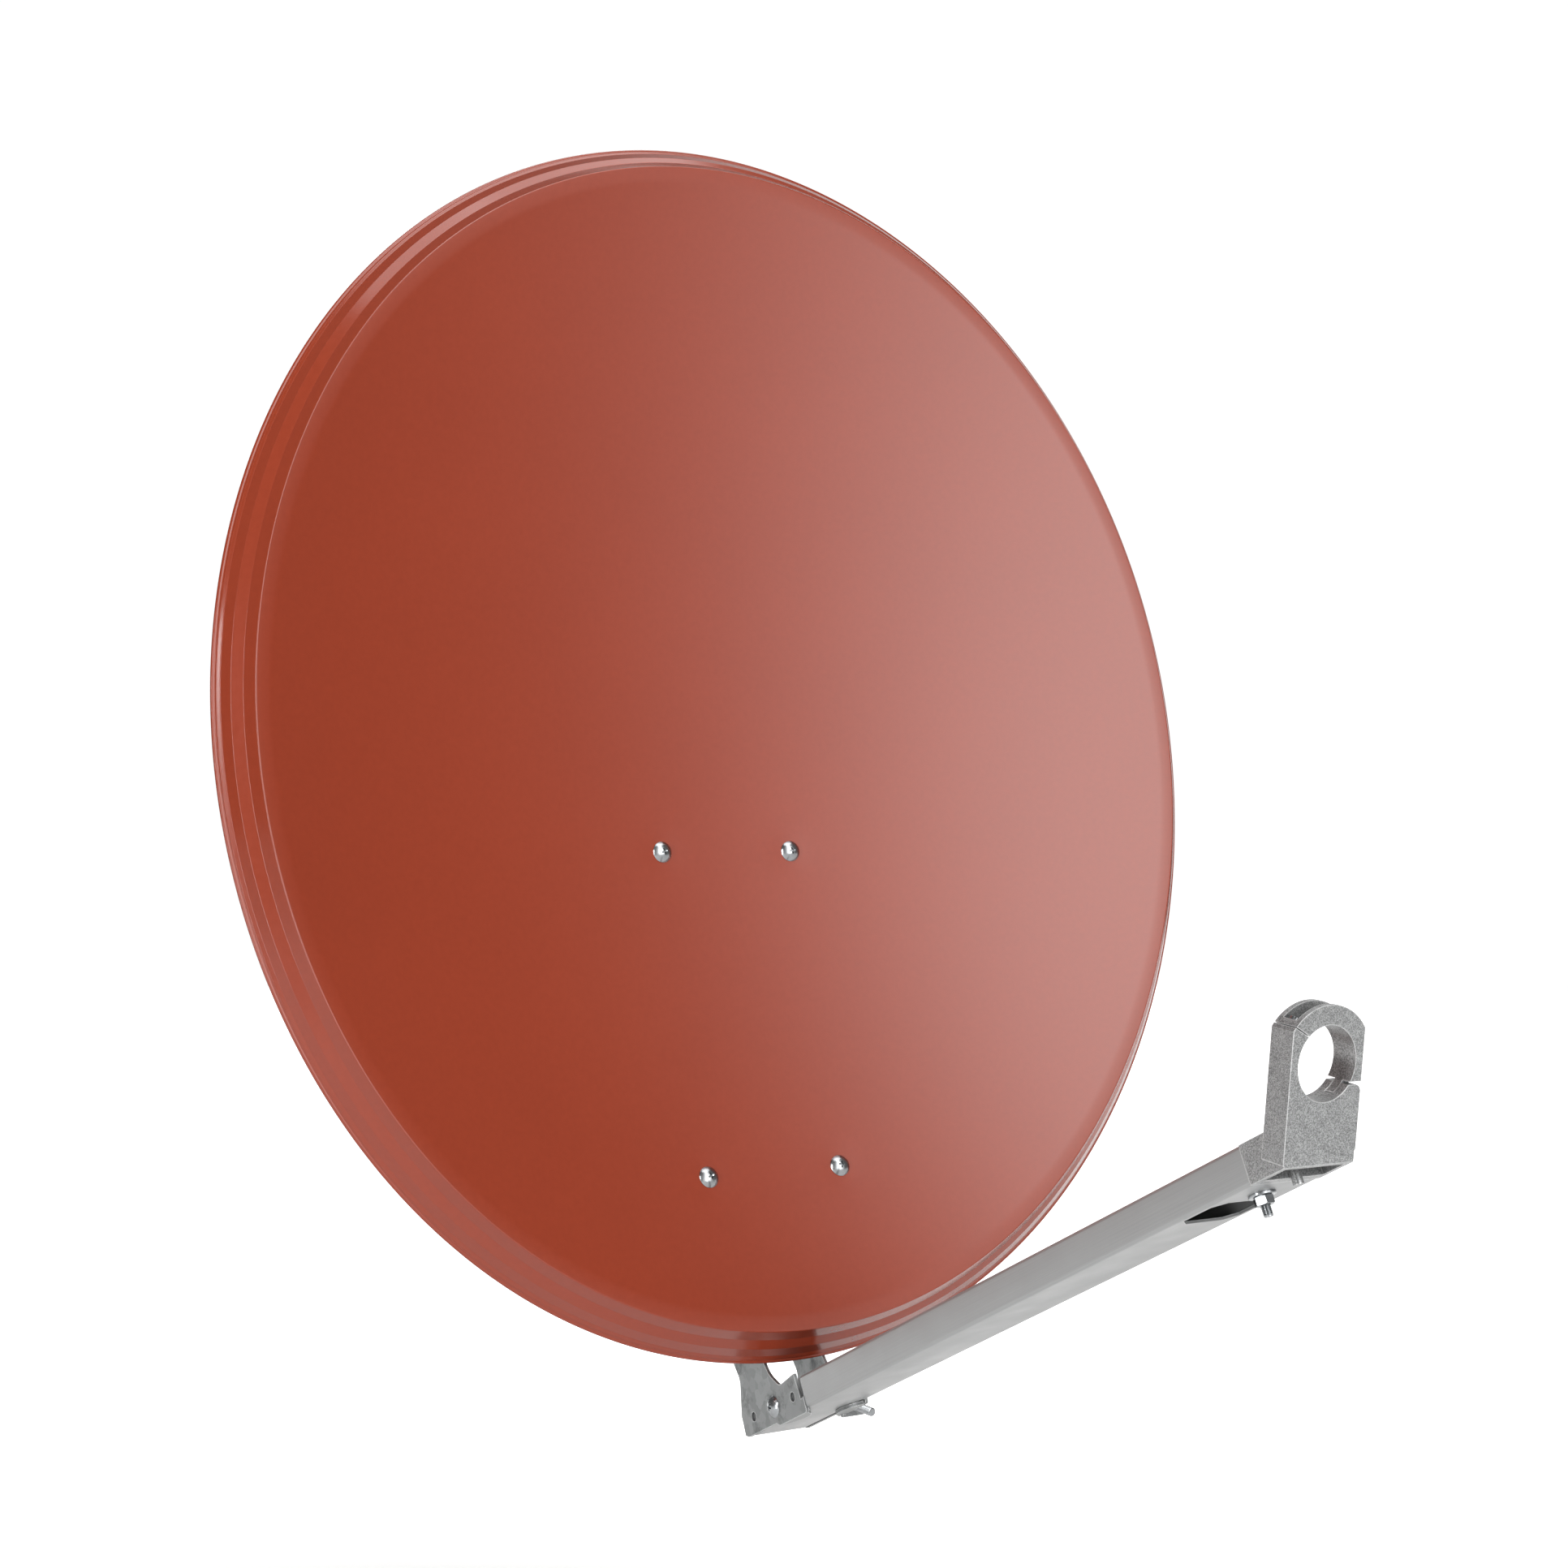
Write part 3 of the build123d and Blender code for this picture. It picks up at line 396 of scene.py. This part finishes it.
def die_casting():
    """Zinc die casting, cleaned by shot blasting, with trimmed bright edges."""
    material, tree, shader = start_material("shot_blasted_die_casting")
    place = add(tree, "ShaderNodeTexCoord").outputs["Object"]
    dents = add(tree, "ShaderNodeTexVoronoi", {"Vector": place, "Scale": 1 / SHOT_SIZE})
    facet = add(tree, "ShaderNodeSeparateColor", {"Color": dents.outputs["Color"]})
    cloud = add(tree, "ShaderNodeTexNoise", {
        "Vector": place, "Scale": 1 / (9 * MM), "Detail": 6.0, "Roughness": 0.65,
    }).outputs["Fac"]
    clouded = add(tree, "ShaderNodeVectorMath", {
        0: blend(tree, facet.outputs["Red"], "#707171", "#b2b3b3"),
        "Scale": remap(tree, cloud, 0.3, 0.7, 0.9, 1.08),
    }, operation="SCALE").outputs["Vector"]
    bright = blend(tree, edge_mask(tree, EDGE_BAND), clouded, "#e2e3e3")
    tree.links.new(bright, shader.inputs["Base Color"])
    tree.links.new(remap(tree, facet.outputs["Green"], 0, 1, 0.30, 0.52), shader.inputs["Roughness"])
    bump = add(tree, "ShaderNodeBump", {
        "Height": maths(tree, "MULTIPLY_ADD", dents.outputs["Distance"], 0.6, cloud),
        "Strength": 0.45, "Distance": 0.08 * MM,
    })
    tree.links.new(bump.outputs["Normal"], shader.inputs["Normal"])
    shader.inputs["Metallic"].default_value = 0.75
    return material


casting = die_casting()
print("material:", casting.name)

# %% [markdown]
# ## Bright zinc fasteners
# Bolts, nuts and washers are barrel plated with zinc. They come out bright and slightly blue,
# with a soft unevenness from tumbling against each other.

# %% Bright zinc plating
TUMBLE_SIZE = 2.5 * MM


def bright_zinc():
    """Barrel-plated blue zinc on steel fasteners."""
    material, tree, shader = start_material("bright_zinc_plating")
    place = add(tree, "ShaderNodeTexCoord").outputs["Object"]
    tumble = add(tree, "ShaderNodeTexNoise", {
        "Vector": place, "Scale": 1 / TUMBLE_SIZE, "Detail": 3.0,
    }).outputs["Fac"]
    tree.links.new(blend(tree, tumble, "#8f9295", "#a8aaab"), shader.inputs["Base Color"])
    tree.links.new(remap(tree, tumble, 0.3, 0.7, 0.2, 0.28), shader.inputs["Roughness"])
    bump = add(tree, "ShaderNodeBump", {
        "Height": tumble, "Strength": 0.15, "Distance": 0.05 * MM,
    })
    tree.links.new(bump.outputs["Normal"], shader.inputs["Normal"])
    shader.inputs["Metallic"].default_value = 1.0
    return material


zinc = bright_zinc()
print("material:", zinc.name)

# %% [markdown]
# ## The pressed reflector
# A disc of sheet steel is drawn over a paraboloid, and its border is pressed into a tight
# bead, a deep groove, a wide step and a flange whose edge is rolled into a hem. Ribs and hem
# keep the thin sheet stiff. The mesh follows the same order: rings of the bowl, then the rim's
# section carried round an ellipse, then the hem, then the back of the sheet, inwards again.

# %% Reflector
FACE_HALF_WIDTH = 375.8 * MM
FOCAL_LENGTH = 450 * MM
OFFSET_ANGLE = math.radians(26.9)
SHEET = 1.0 * MM
FACE_END = (-6.0, 0.0)
BEAD_CREST = 3.6
RIM_CORNERS = [(6.8, 9.5), (16.5, 12.6), (18.6, 20.6), (22.4, 21.5)]
RIM_BENDS = [2.4, 2.6, 3.2, 2.0, 1.6]
HEM_CENTRE = (22.9, 25.0)
HEM_RADIUS = 1.68
HEM_FROM, HEM_TO = math.radians(-102), math.radians(222)
HEM_STEPS = 20
COLUMNS = 384
FACE_RINGS, BACK_RINGS, BEND_STEPS = 110, 36, 6
DIMPLE_DEPTH = 0.28 * MM
DIMPLE_WIDTH = 15 * MM

half_height = FACE_HALF_WIDTH / math.cos(OFFSET_ANGLE)
axis_drop = 2 * FOCAL_LENGTH * math.tan(OFFSET_ANGLE)
vertex_depth = (FACE_HALF_WIDTH**2 + axis_drop**2) / (4 * FOCAL_LENGTH)
bowl_axis = Vector((0, math.sin(OFFSET_ANGLE), math.cos(OFFSET_ANGLE)))


def bowl_depth(u, v):
    """How far the paraboloid stands out of the face's plane at u across and v up; negative."""
    sine, cosine = math.sin(OFFSET_ANGLE), math.cos(OFFSET_ANGLE)
    y = v * cosine + axis_drop
    half = y * sine + 2 * FOCAL_LENGTH * cosine
    rest = u * u + y * y - 4 * FOCAL_LENGTH * (v * sine + vertex_depth)
    return (half - math.sqrt(half * half - sine * sine * rest)) / (sine * sine)


def rounded_path(corners, radii):
    """A polyline through corners, each inner one rounded to its radius, in equal steps."""
    path = [corners[0]]
    for before, corner, after, radius in zip(corners, corners[1:], corners[2:], radii):
        back = (Vector(before) - Vector(corner)).normalized()
        ahead = (Vector(after) - Vector(corner)).normalized()
        half_turn = (math.pi - back.angle(ahead)) / 2
        reach = radius * math.tan(half_turn)
        middle = Vector(corner) + (back + ahead).normalized() * radius / math.cos(half_turn)
        first = Vector(corner) + back * reach - middle
        last = Vector(corner) + ahead * reach - middle
        for step in range(BEND_STEPS + 1):
            path.append(middle + first.slerp(last, step / BEND_STEPS))
    return [Vector(p) for p in path] + [Vector(corners[-1])]


def beside(path, distance):
    """The path moved to its left by a distance."""
    moved = []
    for i, point in enumerate(path):
        way = (path[min(i + 1, len(path) - 1)] - path[max(i - 1, 0)]).normalized()
        moved.append(point + Vector((-way.y, way.x)) * distance)
    return moved


def bolt_places():
    """Where the face's bolts are, across and up the dish's plane."""
    from_centre = [place - dish_centre for place in centres_of("face_washers")]
    return [(offset.dot(across), offset.dot(face_up)) for offset in from_centre]


def islands(node):
    """The separate bodies of a CAD node, each as its points and triangles."""
    bm = bmesh.new()
    bm.from_mesh(frame["nodes"][node].data)
    bmesh.ops.remove_doubles(bm, verts=bm.verts, dist=WELD)
    left = set(bm.verts)
    found = []
    while left:
        reached = {left.pop()}
        edge = list(reached)
        while edge:
            near = {e.other_vert(v) for v in edge for e in v.link_edges} - reached
            reached |= near
            edge = list(near)
        left -= reached
        faces = {f for v in reached for f in v.link_faces}
        found.append((
            np.array([v.co for v in reached]),
            [np.array([v.co for v in f.verts]) for f in faces],
        ))
    bm.free()
    return sorted(found, key=lambda one: tuple(np.round(one[0].mean(axis=0), 4)))


def centres_of(node):
    return [Vector(points.mean(axis=0)) for points, faces in islands(node)]


def reflector_rings(angle, bolts):
    """Points of one spoke of the sheet: out over the face, round the hem and back behind."""
    edge = Vector((FACE_HALF_WIDTH * math.cos(angle), half_height * math.sin(angle)))
    outward = Vector((half_height * math.cos(angle), FACE_HALF_WIDTH * math.sin(angle)))
    outward.normalize()
    inner = edge + outward * FACE_END[0] * MM
    start = (FACE_END[0], -bowl_depth(*inner) / MM)
    crest = (BEAD_CREST, start[1] * BEAD_CREST / FACE_END[0])
    path = rounded_path([start, crest, *RIM_CORNERS, HEM_CENTRE], RIM_BENDS)
    shoulder = Vector(HEM_CENTRE) + Vector((math.cos(HEM_FROM), math.sin(HEM_FROM))) * HEM_RADIUS
    path[-1] = shoulder
    hem = [
        Vector(HEM_CENTRE) + Vector((math.cos(a), math.sin(a))) * HEM_RADIUS
        for a in np.linspace(HEM_FROM, HEM_TO, HEM_STEPS)[1:]
    ]
    lower = beside(path, SHEET / MM)[1:]

    def on_rim(point):
        spot = edge + outward * point.x * MM
        return Vector((spot.x, spot.y, -point.y * MM))

    def on_bowl(share):
        spot = inner * share
        pull = sum(
            math.exp(-((spot.x - u) ** 2 + (spot.y - v) ** 2) / DIMPLE_WIDTH**2) for u, v in bolts
        )
        return Vector((spot.x, spot.y, bowl_depth(*spot) - DIMPLE_DEPTH * pull))

    front = [on_bowl(i / FACE_RINGS) for i in range(FACE_RINGS)] + [on_rim(p) for p in path + hem]
    behind = [on_rim(p) for p in reversed(lower)]
    behind += [on_bowl(i / BACK_RINGS) - bowl_axis * SHEET for i in range(BACK_RINGS, -1, -1)]
    return front + behind


def make_reflector():
    bolts = bolt_places()
    turn = np.linspace(0, 2 * math.pi, COLUMNS, endpoint=False)
    spokes = [reflector_rings(angle, bolts) for angle in turn]
    to_row = Matrix((across, face_up, face_out)).transposed()
    points = [dish_centre + to_row @ spoke[i] for i in range(len(spokes[0])) for spoke in spokes]
    return mesh_of("pressed_reflector", points, ring_faces(len(spokes[0]), COLUMNS))


piece("pressed_reflector", make_reflector(), paint, "reflector", sharp=60)

# %% [markdown]
# ## Sheet metal, tube and castings
# These parts have the right shape already, so each gets a finer skin: the CAD surface with its
# flat faces made whole and every sharp edge broken by a narrow round, as deburring, bending or
# a casting mould leaves it. A real edge is never perfectly sharp, and the round is what catches
# the light.

# %% Skins for rails, brackets, arm and feed clamp
FLAT_WITHIN = math.radians(0.2)
BROKEN_EDGE = math.radians(28)


def skin(name, node, material, edge_round):
    bm = bmesh.new()
    bm.from_mesh(frame["nodes"][node].data)
    bmesh.ops.remove_doubles(bm, verts=bm.verts, dist=WELD)
    bmesh.ops.dissolve_limit(bm, angle_limit=FLAT_WITHIN, verts=bm.verts, edges=bm.edges)
    bm.verts.index_update()
    mesh = bpy.data.meshes.new(name)
    mesh.from_pydata(
        [v.co for v in bm.verts], [], [[v.index for v in f.verts] for f in bm.faces]
    )
    bm.free()
    mesh.shade_smooth()
    mesh = applied(mesh, ("BEVEL", {
        "width": edge_round, "segments": 2, "limit_method": "ANGLE", "angle_limit": BROKEN_EDGE,
        "harden_normals": True, "use_clamp_overlap": True,
    }))
    return piece(name, mesh, material, node, sharp=0)


skin("left_rail_sheet", "left_rail", galvanised, 0.3 * MM)
skin("right_rail_sheet", "right_rail", galvanised, 0.3 * MM)
skin("rail_brace_sheet", "rail_brace", galvanised, 0.3 * MM)
skin("tilt_bracket_sheet", "tilt_bracket", galvanised, 0.4 * MM)
skin("mast_jaw_sheet", "mast_jaw", galvanised, 0.4 * MM)
skin("pivot_spacer_tube", "pivot_spacer", galvanised, 0.3 * MM)
skin("feed_arm_tube", "feed_arm", tube_steel, 0.25 * MM)
skin("feed_holder_casting", "feed_holder", casting, 0.5 * MM)
skin("feed_lid_casting", "feed_lid", casting, 0.5 * MM)

# %% [markdown]
# ## Bolts, nuts and washers
# Each CAD fastener gives an axis, a length and its radii, and the real form is built on them:
# a rolled thread that climbs one pitch a turn, hexagons with turned chamfers, and domed heads
# with a punched cross recess. The axis is found from the faces' directions, because a round or
# hexagonal body looks the same both ways across it.

# %% Fasteners
PITCH = {4: 0.7 * MM, 6: 1.0 * MM, 8: 1.25 * MM}
THREAD_COLUMNS, HEX_COLUMNS, HEAD_COLUMNS = 28, 72, 56
NUT_CHAMFER = 0.35 * MM
CROSS_WING, CROSS_WIDTH, CROSS_DEPTH = 2.6 * MM, 0.62 * MM, 2.0 * MM
SLOT_HALF, SLOT_DEPTH = 0.5 * MM, 1.1 * MM
CHAMFER_SLOPE = math.tan(math.radians(30))
HEAD_SHARE = 0.7


def own_axis(points, faces):
    """The fastener's axis, a point on it, and each point's height and sideways offset."""
    spread, middle, area = np.zeros((3, 3)), np.zeros(3), 0.0
    for corners in faces:
        for a, b in zip(corners[1:], corners[2:]):
            normal = np.cross(a - corners[0], b - corners[0])
            size = np.linalg.norm(normal)
            if size:
                spread += np.outer(normal, normal) / size
                middle += (a + b + corners[0]) / 3 * size
                area += size
    middle /= area
    values, ways = np.linalg.eigh(spread)
    axis = ways[:, 2] if values[2] - values[1] > values[1] - values[0] else ways[:, 0]
    heights = (points - middle) @ axis
    return axis, middle, heights, (points - middle) - np.outer(heights, axis)


def measured(points, faces):
    """The fastener's frame, and each point's height and distance from its axis."""
    axis, middle, heights, flat = own_axis(points, faces)
    reach = np.linalg.norm(flat, axis=1)
    ends = heights > (heights.max() + heights.min()) / 2
    if reach[ends].max() < reach[~ends].max():
        axis, heights = -axis, -heights
    corner = flat[reach.argmax()]
    corner = corner / np.linalg.norm(corner)
    side = np.cross(axis, corner)
    matrix = Matrix((corner, side, axis)).transposed().to_4x4()
    matrix.translation = Vector(middle)
    return matrix, heights, reach


def threaded(radius, low, high):
    """A rolled thread from its tip at low up to high, chamfered at the tip."""
    pitch = PITCH[round(2 * radius / MM)]
    root = radius - 0.6 * pitch
    steps = [(0.0, root), (0.12, root), (0.44, radius), (0.62, radius)]
    turns = math.ceil((high - low) / pitch) + 1
    points = []
    for row in range(4 * turns + 8):
        share, level = steps[row % 4]
        for column in range(THREAD_COLUMNS):
            turn = column / THREAD_COLUMNS
            z = low + (row // 4 - 1 + share + turn) * pitch
            r = min(level, root - 0.1 * MM + max(z - low, 0)) if z < high else radius
            angle = 2 * math.pi * turn
            points.append((r * math.cos(angle), r * math.sin(angle), min(max(z, low), high)))
    tip = turned([(0, low), (root - 0.1 * MM, low)], THREAD_COLUMNS)
    return joined((points, ring_faces(4 * turns + 8, THREAD_COLUMNS, lift=4)), tip)


def hexagon(corner_radius, low, high, bore=0.0, chamfered_seat=False):
    """A hexagonal body whose top is turned to a cone, bored through when it is a nut."""
    flat = corner_radius * math.cos(math.pi / 6)
    inner = bore + NUT_CHAMFER if bore else 0.0
    turn = np.linspace(0, 2 * math.pi, HEX_COLUMNS, endpoint=False)
    sixth = math.pi / 3
    outer = np.array([flat / math.cos(a % sixth - sixth / 2) for a in turn])
    cone = 0.97 * flat
    drop = (outer - cone) * CHAMFER_SLOPE

    def even(value):
        return [value] * len(turn)

    rows = [even(inner), even(cone), outer, outer, even(cone), even(inner)]
    levels = [even(low), even(low), low + drop, high - drop, even(high), even(high)]
    if not chamfered_seat:
        rows[1], levels[2] = outer, even(low)
    if bore:
        rows += [even(bore), even(bore), rows[0]]
        levels += [even(high - NUT_CHAMFER), even(low + NUT_CHAMFER), levels[0]]
    points = [
        (r * math.cos(a), r * math.sin(a), z)
        for row, level in zip(rows, levels)
        for r, z, a in zip(row, level, turn)
    ]
    return points, ring_faces(len(rows), HEX_COLUMNS)


def dome(radius, low, high):
    """A domed head from its seat up, with a slightly rounded rim."""
    height = high - low
    ball = (radius**2 + height**2) / (2 * height)
    full = math.asin(radius / ball)
    profile = [(0, low), (radius - 0.3 * MM, low), (radius - 0.08 * MM, low + 0.08 * MM)]
    for angle in np.linspace(full * 0.97, 0, 14):
        profile.append((ball * math.sin(angle), high - ball + ball * math.cos(angle)))
    return turned(profile, HEAD_COLUMNS)


def cross_cutter(wing, width, top, depth):
    """A tapered cross, as the punch that makes the recess."""
    def outline(scale, z):
        w, t = wing * scale, width * scale
        corners = [(w, t), (t, t), (t, w), (-t, w), (-t, t), (-w, t)]
        corners += [(-x, -y) for x, y in corners]
        return [(x, y, z) for x, y in corners]

    points = outline(1.15, top + 0.5 * MM) + outline(0.55, top - depth)
    count = len(points) // 2
    sides = [(i, (i + 1) % count, (i + 1) % count + count, i + count) for i in range(count)]
    return points, sides + [tuple(range(count)), tuple(range(count, 2 * count))]


def slot_cutter(radius, top, depth):
    """A bar across the head, as the saw that cuts the slot."""
    x, y = SLOT_HALF, 2 * radius
    corners = [(-x, -y), (x, -y), (x, y), (-x, y)]
    points = [(*corner, z) for z in (top - depth, top + MM) for corner in corners]
    faces = [(0, 1, 2, 3), (4, 5, 6, 7), (0, 1, 5, 4), (1, 2, 6, 5), (2, 3, 7, 6), (3, 0, 4, 7)]
    return points, faces


def cut(shape, cutter):
    """The shape with a cutter taken out of it."""
    tool = bpy.data.objects.new("tool", mesh_of("tool", *cutter))
    bpy.context.scene.collection.objects.link(tool)
    mesh = applied(mesh_of("blank", *shape), ("BOOLEAN", {
        "operation": "DIFFERENCE", "solver": "EXACT", "object": tool,
    }))
    result = [v.co.copy() for v in mesh.vertices], [tuple(p.vertices) for p in mesh.polygons]
    bpy.data.objects.remove(tool)
    bpy.data.meshes.remove(mesh)
    return result


def bolt(points, faces, head):
    """A bolt of the CAD bolt's size with the head asked for: dome, hexagon or cheese."""
    matrix, heights, reach = measured(points, faces)
    seat = heights[reach > HEAD_SHARE * reach.max()].min()
    shank = reach[heights < seat - 0.5 * MM].max()
    low, high, wide = heights.min(), heights.max(), reach.max()
    if head == "hexagon":
        top = hexagon(wide, seat, high)
    elif head == "dome":
        top = cut(dome(wide, seat, high), cross_cutter(CROSS_WING, CROSS_WIDTH, high, CROSS_DEPTH))
    else:
        edge = 0.3 * MM
        profile = [(0, seat), (wide, seat), (wide, high - edge), (wide - edge, high), (0, high)]
        top = cut(turned(profile, 48), slot_cutter(wide, high, SLOT_DEPTH))
    return placed(joined(threaded(shank, low, seat), top), matrix)


def stud(points, faces):
    """A headless stud, threaded all along and chamfered at its tip."""
    matrix, heights, reach = measured(points, faces)
    if reach[heights.argmin()] > reach[heights.argmax()]:
        matrix, heights = matrix @ Matrix.Rotation(math.pi, 4, "X"), -heights
    root = turned([(reach.max(), heights.max()), (0, heights.max())], THREAD_COLUMNS)
    return placed(joined(threaded(reach.max(), heights.min(), heights.max()), root), matrix)


def nut(points, faces):
    matrix, heights, reach = measured(points, faces)
    bore = reach.min() - 0.15 * MM
    return placed(hexagon(reach.max(), heights.min(), heights.max(), bore, True), matrix)


def ring(points, faces):
    """A stamped washer: one edge drawn round by the punch, the other a sharper break."""
    matrix, heights, reach = measured(points, faces)
    low, high, wide, bore = heights.min(), heights.max(), reach.max(), reach.min()
    soft, crisp = 0.35 * MM, 0.12 * MM
    profile = [
        (bore, low + crisp), (bore + crisp, low), (wide - crisp, low), (wide, low + crisp),
        (wide, high - soft), (wide - 0.3 * soft, high - 0.3 * soft), (wide - soft, high),
        (bore + soft, high), (bore, high - soft), (bore, low + crisp),
    ]
    return placed(turned(profile, HEAD_COLUMNS), matrix)


def fasteners(name, node, make, *options):
    shapes = [make(points, faces, *options) for points, faces in islands(node)]
    mesh = mesh_of(name, *joined(*shapes))
    return piece(name, mesh, zinc, node, sharp=24)


for group in ("face_bolts", "lock_bolts", "arm_bolt", "holder_bolt"):
    fasteners(group + "_domed", group, bolt, "dome")
for group in ("clamp_bolts", "pivot_bolt"):
    fasteners(group + "_hexagon", group, bolt, "hexagon")
fasteners("lid_screw_slotted", "lid_screw", bolt, "cheese")
for group in ("face", "lock", "arm", "holder", "clamp"):
    plural = "s" if group in ("face", "lock", "clamp") else ""
    fasteners(f"{group}_nut_hexagon", f"{group}_nut{plural}", nut)
    fasteners(f"{group}_washer_stamped", f"{group}_washer{plural}", ring)
fasteners("pivot_nut_hexagon", "pivot_nut", nut)
fasteners("earth_stud_threaded", "earth_stud", stud)
fasteners("pivot_washer_stamped", "pivot_washers", ring)

# %% [markdown]
# ## Floor and light
# The dish hangs over a pale floor that glows with painted light: no glow in front, rising to a
# bright glow far behind the dish, as a lit backdrop would look. The room is grey with one tall,
# soft window in front, so that the hollow right side of the bowl returns it as a broad sheen
# and every bead of the rim draws it as a thin line. A strip at the left adds a second line, and
# soft lights above and behind round off the top.

# %% Floor
FLOOR_DROP = 0.30
FLOOR_RADIUS = 9.0
FLOOR_GLOW = 0.8
GLOW_START, GLOW_END = 0.3, 1.1


def make_floor():
    low = cad_box[0].z - FLOOR_DROP
    rings = [(0.0, low), (FLOOR_RADIUS / 3, low), (FLOOR_RADIUS, low)]
    mesh = mesh_of("floor", *turned(rings, 96))
    material, tree, shader = start_material("pale_floor")
    place = add(tree, "ShaderNodeTexCoord").outputs["Object"]
    mottle = add(tree, "ShaderNodeTexNoise", {"Vector": place, "Scale": 3.0, "Detail": 4.0})
    tone = blend(tree, mottle.outputs["Fac"], "#f4f4f3", "#fafafa")
    tree.links.new(tone, shader.inputs["Base Color"])
    shader.inputs["Roughness"].default_value = 0.8
    # Painted light: the floor itself glows, from none up to FLOOR_GLOW along the way behind the
    # dish, standing in for a lit backdrop
    behind = (-EYE_FROM_CENTRE).normalized()
    depth = add(tree, "ShaderNodeVectorMath", {0: place, 1: behind}, operation="DOT_PRODUCT")
    glow = remap(
        tree, depth.outputs["Value"], GLOW_START, GLOW_END, 0, FLOOR_GLOW,
        interpolation_type="SMOOTHSTEP",
    )
    tree.links.new(glow, shader.inputs["Emission Strength"])
    shader.inputs["Emission Color"].default_value = linear("#ffffff")
    mesh.materials.append(material)
    floor = bpy.data.objects.new("floor", mesh)
    bpy.context.scene.collection.objects.link(floor)
    return floor


floor = make_floor()
print("floor lies", FLOOR_DROP, "m below the object")

# %% Lights and room
LIGHTS = {
    "left_strip": {"at": (-2.4, -1.1, 0.3), "size": (0.3, 2.0), "power": 34},
    "top_softbox": {"at": (0.2, -0.4, 2.6), "size": (2.2, 1.8), "power": 34},
    "back_softbox": {"at": (0.6, 2.8, 1.6), "size": (2.0, 1.6), "power": 30},
}


WINDOW_SIDE, WINDOW_WIDTH = math.radians(0), math.radians(17.5)
WINDOW_RISE, WINDOW_HEIGHT = math.radians(15), math.radians(45)
WINDOW_GLOW = 5.6 / 0.18
BACKDROP_START, BACKDROP_FULL = 0.72, 0.9
ROOM_GLOW = 1.02


def make_light(name, at, size, power):
    data = bpy.data.lights.new(name, "AREA")
    data.shape = "RECTANGLE"
    data.size, data.size_y = size
    data.energy = power
    light = bpy.data.objects.new(name, data)
    light.location = at
    towards = dish_centre - Vector(at)
    light.rotation_euler = towards.to_track_quat("-Z", "Y").to_euler()
    bpy.context.scene.collection.objects.link(light)


for name, settings in LIGHTS.items():
    make_light(name, **settings)


def bell(tree, value, middle, width):
    """A smooth hump of height one about a middle."""
    scaled = maths(tree, "DIVIDE", maths(tree, "SUBTRACT", value, middle), width)
    square = maths(tree, "MULTIPLY", scaled, scaled)
    return maths(tree, "EXPONENT", maths(tree, "MULTIPLY", square, -0.5))


def make_room():
    """A grey room with the soft window in front, fading to white behind the dish."""
    world = bpy.data.worlds.new("bright_studio")
    bpy.context.scene.world = world
    world.use_nodes = True
    tree = world.node_tree
    way = add(tree, "ShaderNodeTexCoord").outputs["Generated"]
    parts = add(tree, "ShaderNodeSeparateXYZ", {"Vector": way}).outputs
    side = maths(tree, "ARCTAN2", parts["X"], maths(tree, "MULTIPLY", parts["Y"], -1.0))
    height = maths(tree, "ARCSINE", parts["Z"])
    window = maths(
        tree, "MULTIPLY",
        bell(tree, side, WINDOW_SIDE, WINDOW_WIDTH), bell(tree, height, WINDOW_RISE, WINDOW_HEIGHT),
    )
    behind = (-EYE_FROM_CENTRE).normalized()
    towards = add(tree, "ShaderNodeVectorMath", {0: way, 1: behind}, operation="DOT_PRODUCT")
    fade = remap(
        tree, towards.outputs["Value"], BACKDROP_START, BACKDROP_FULL,
        interpolation_type="SMOOTHSTEP",
    )
    background = tree.nodes["Background"]
    tree.links.new(blend(tree, fade, "#767676", "#ffffff"), background.inputs["Color"])
    glow = maths(tree, "MULTIPLY_ADD", window, WINDOW_GLOW, ROOM_GLOW)
    tree.links.new(glow, background.inputs["Strength"])


make_room()
print("lights:", ", ".join(LIGHTS))
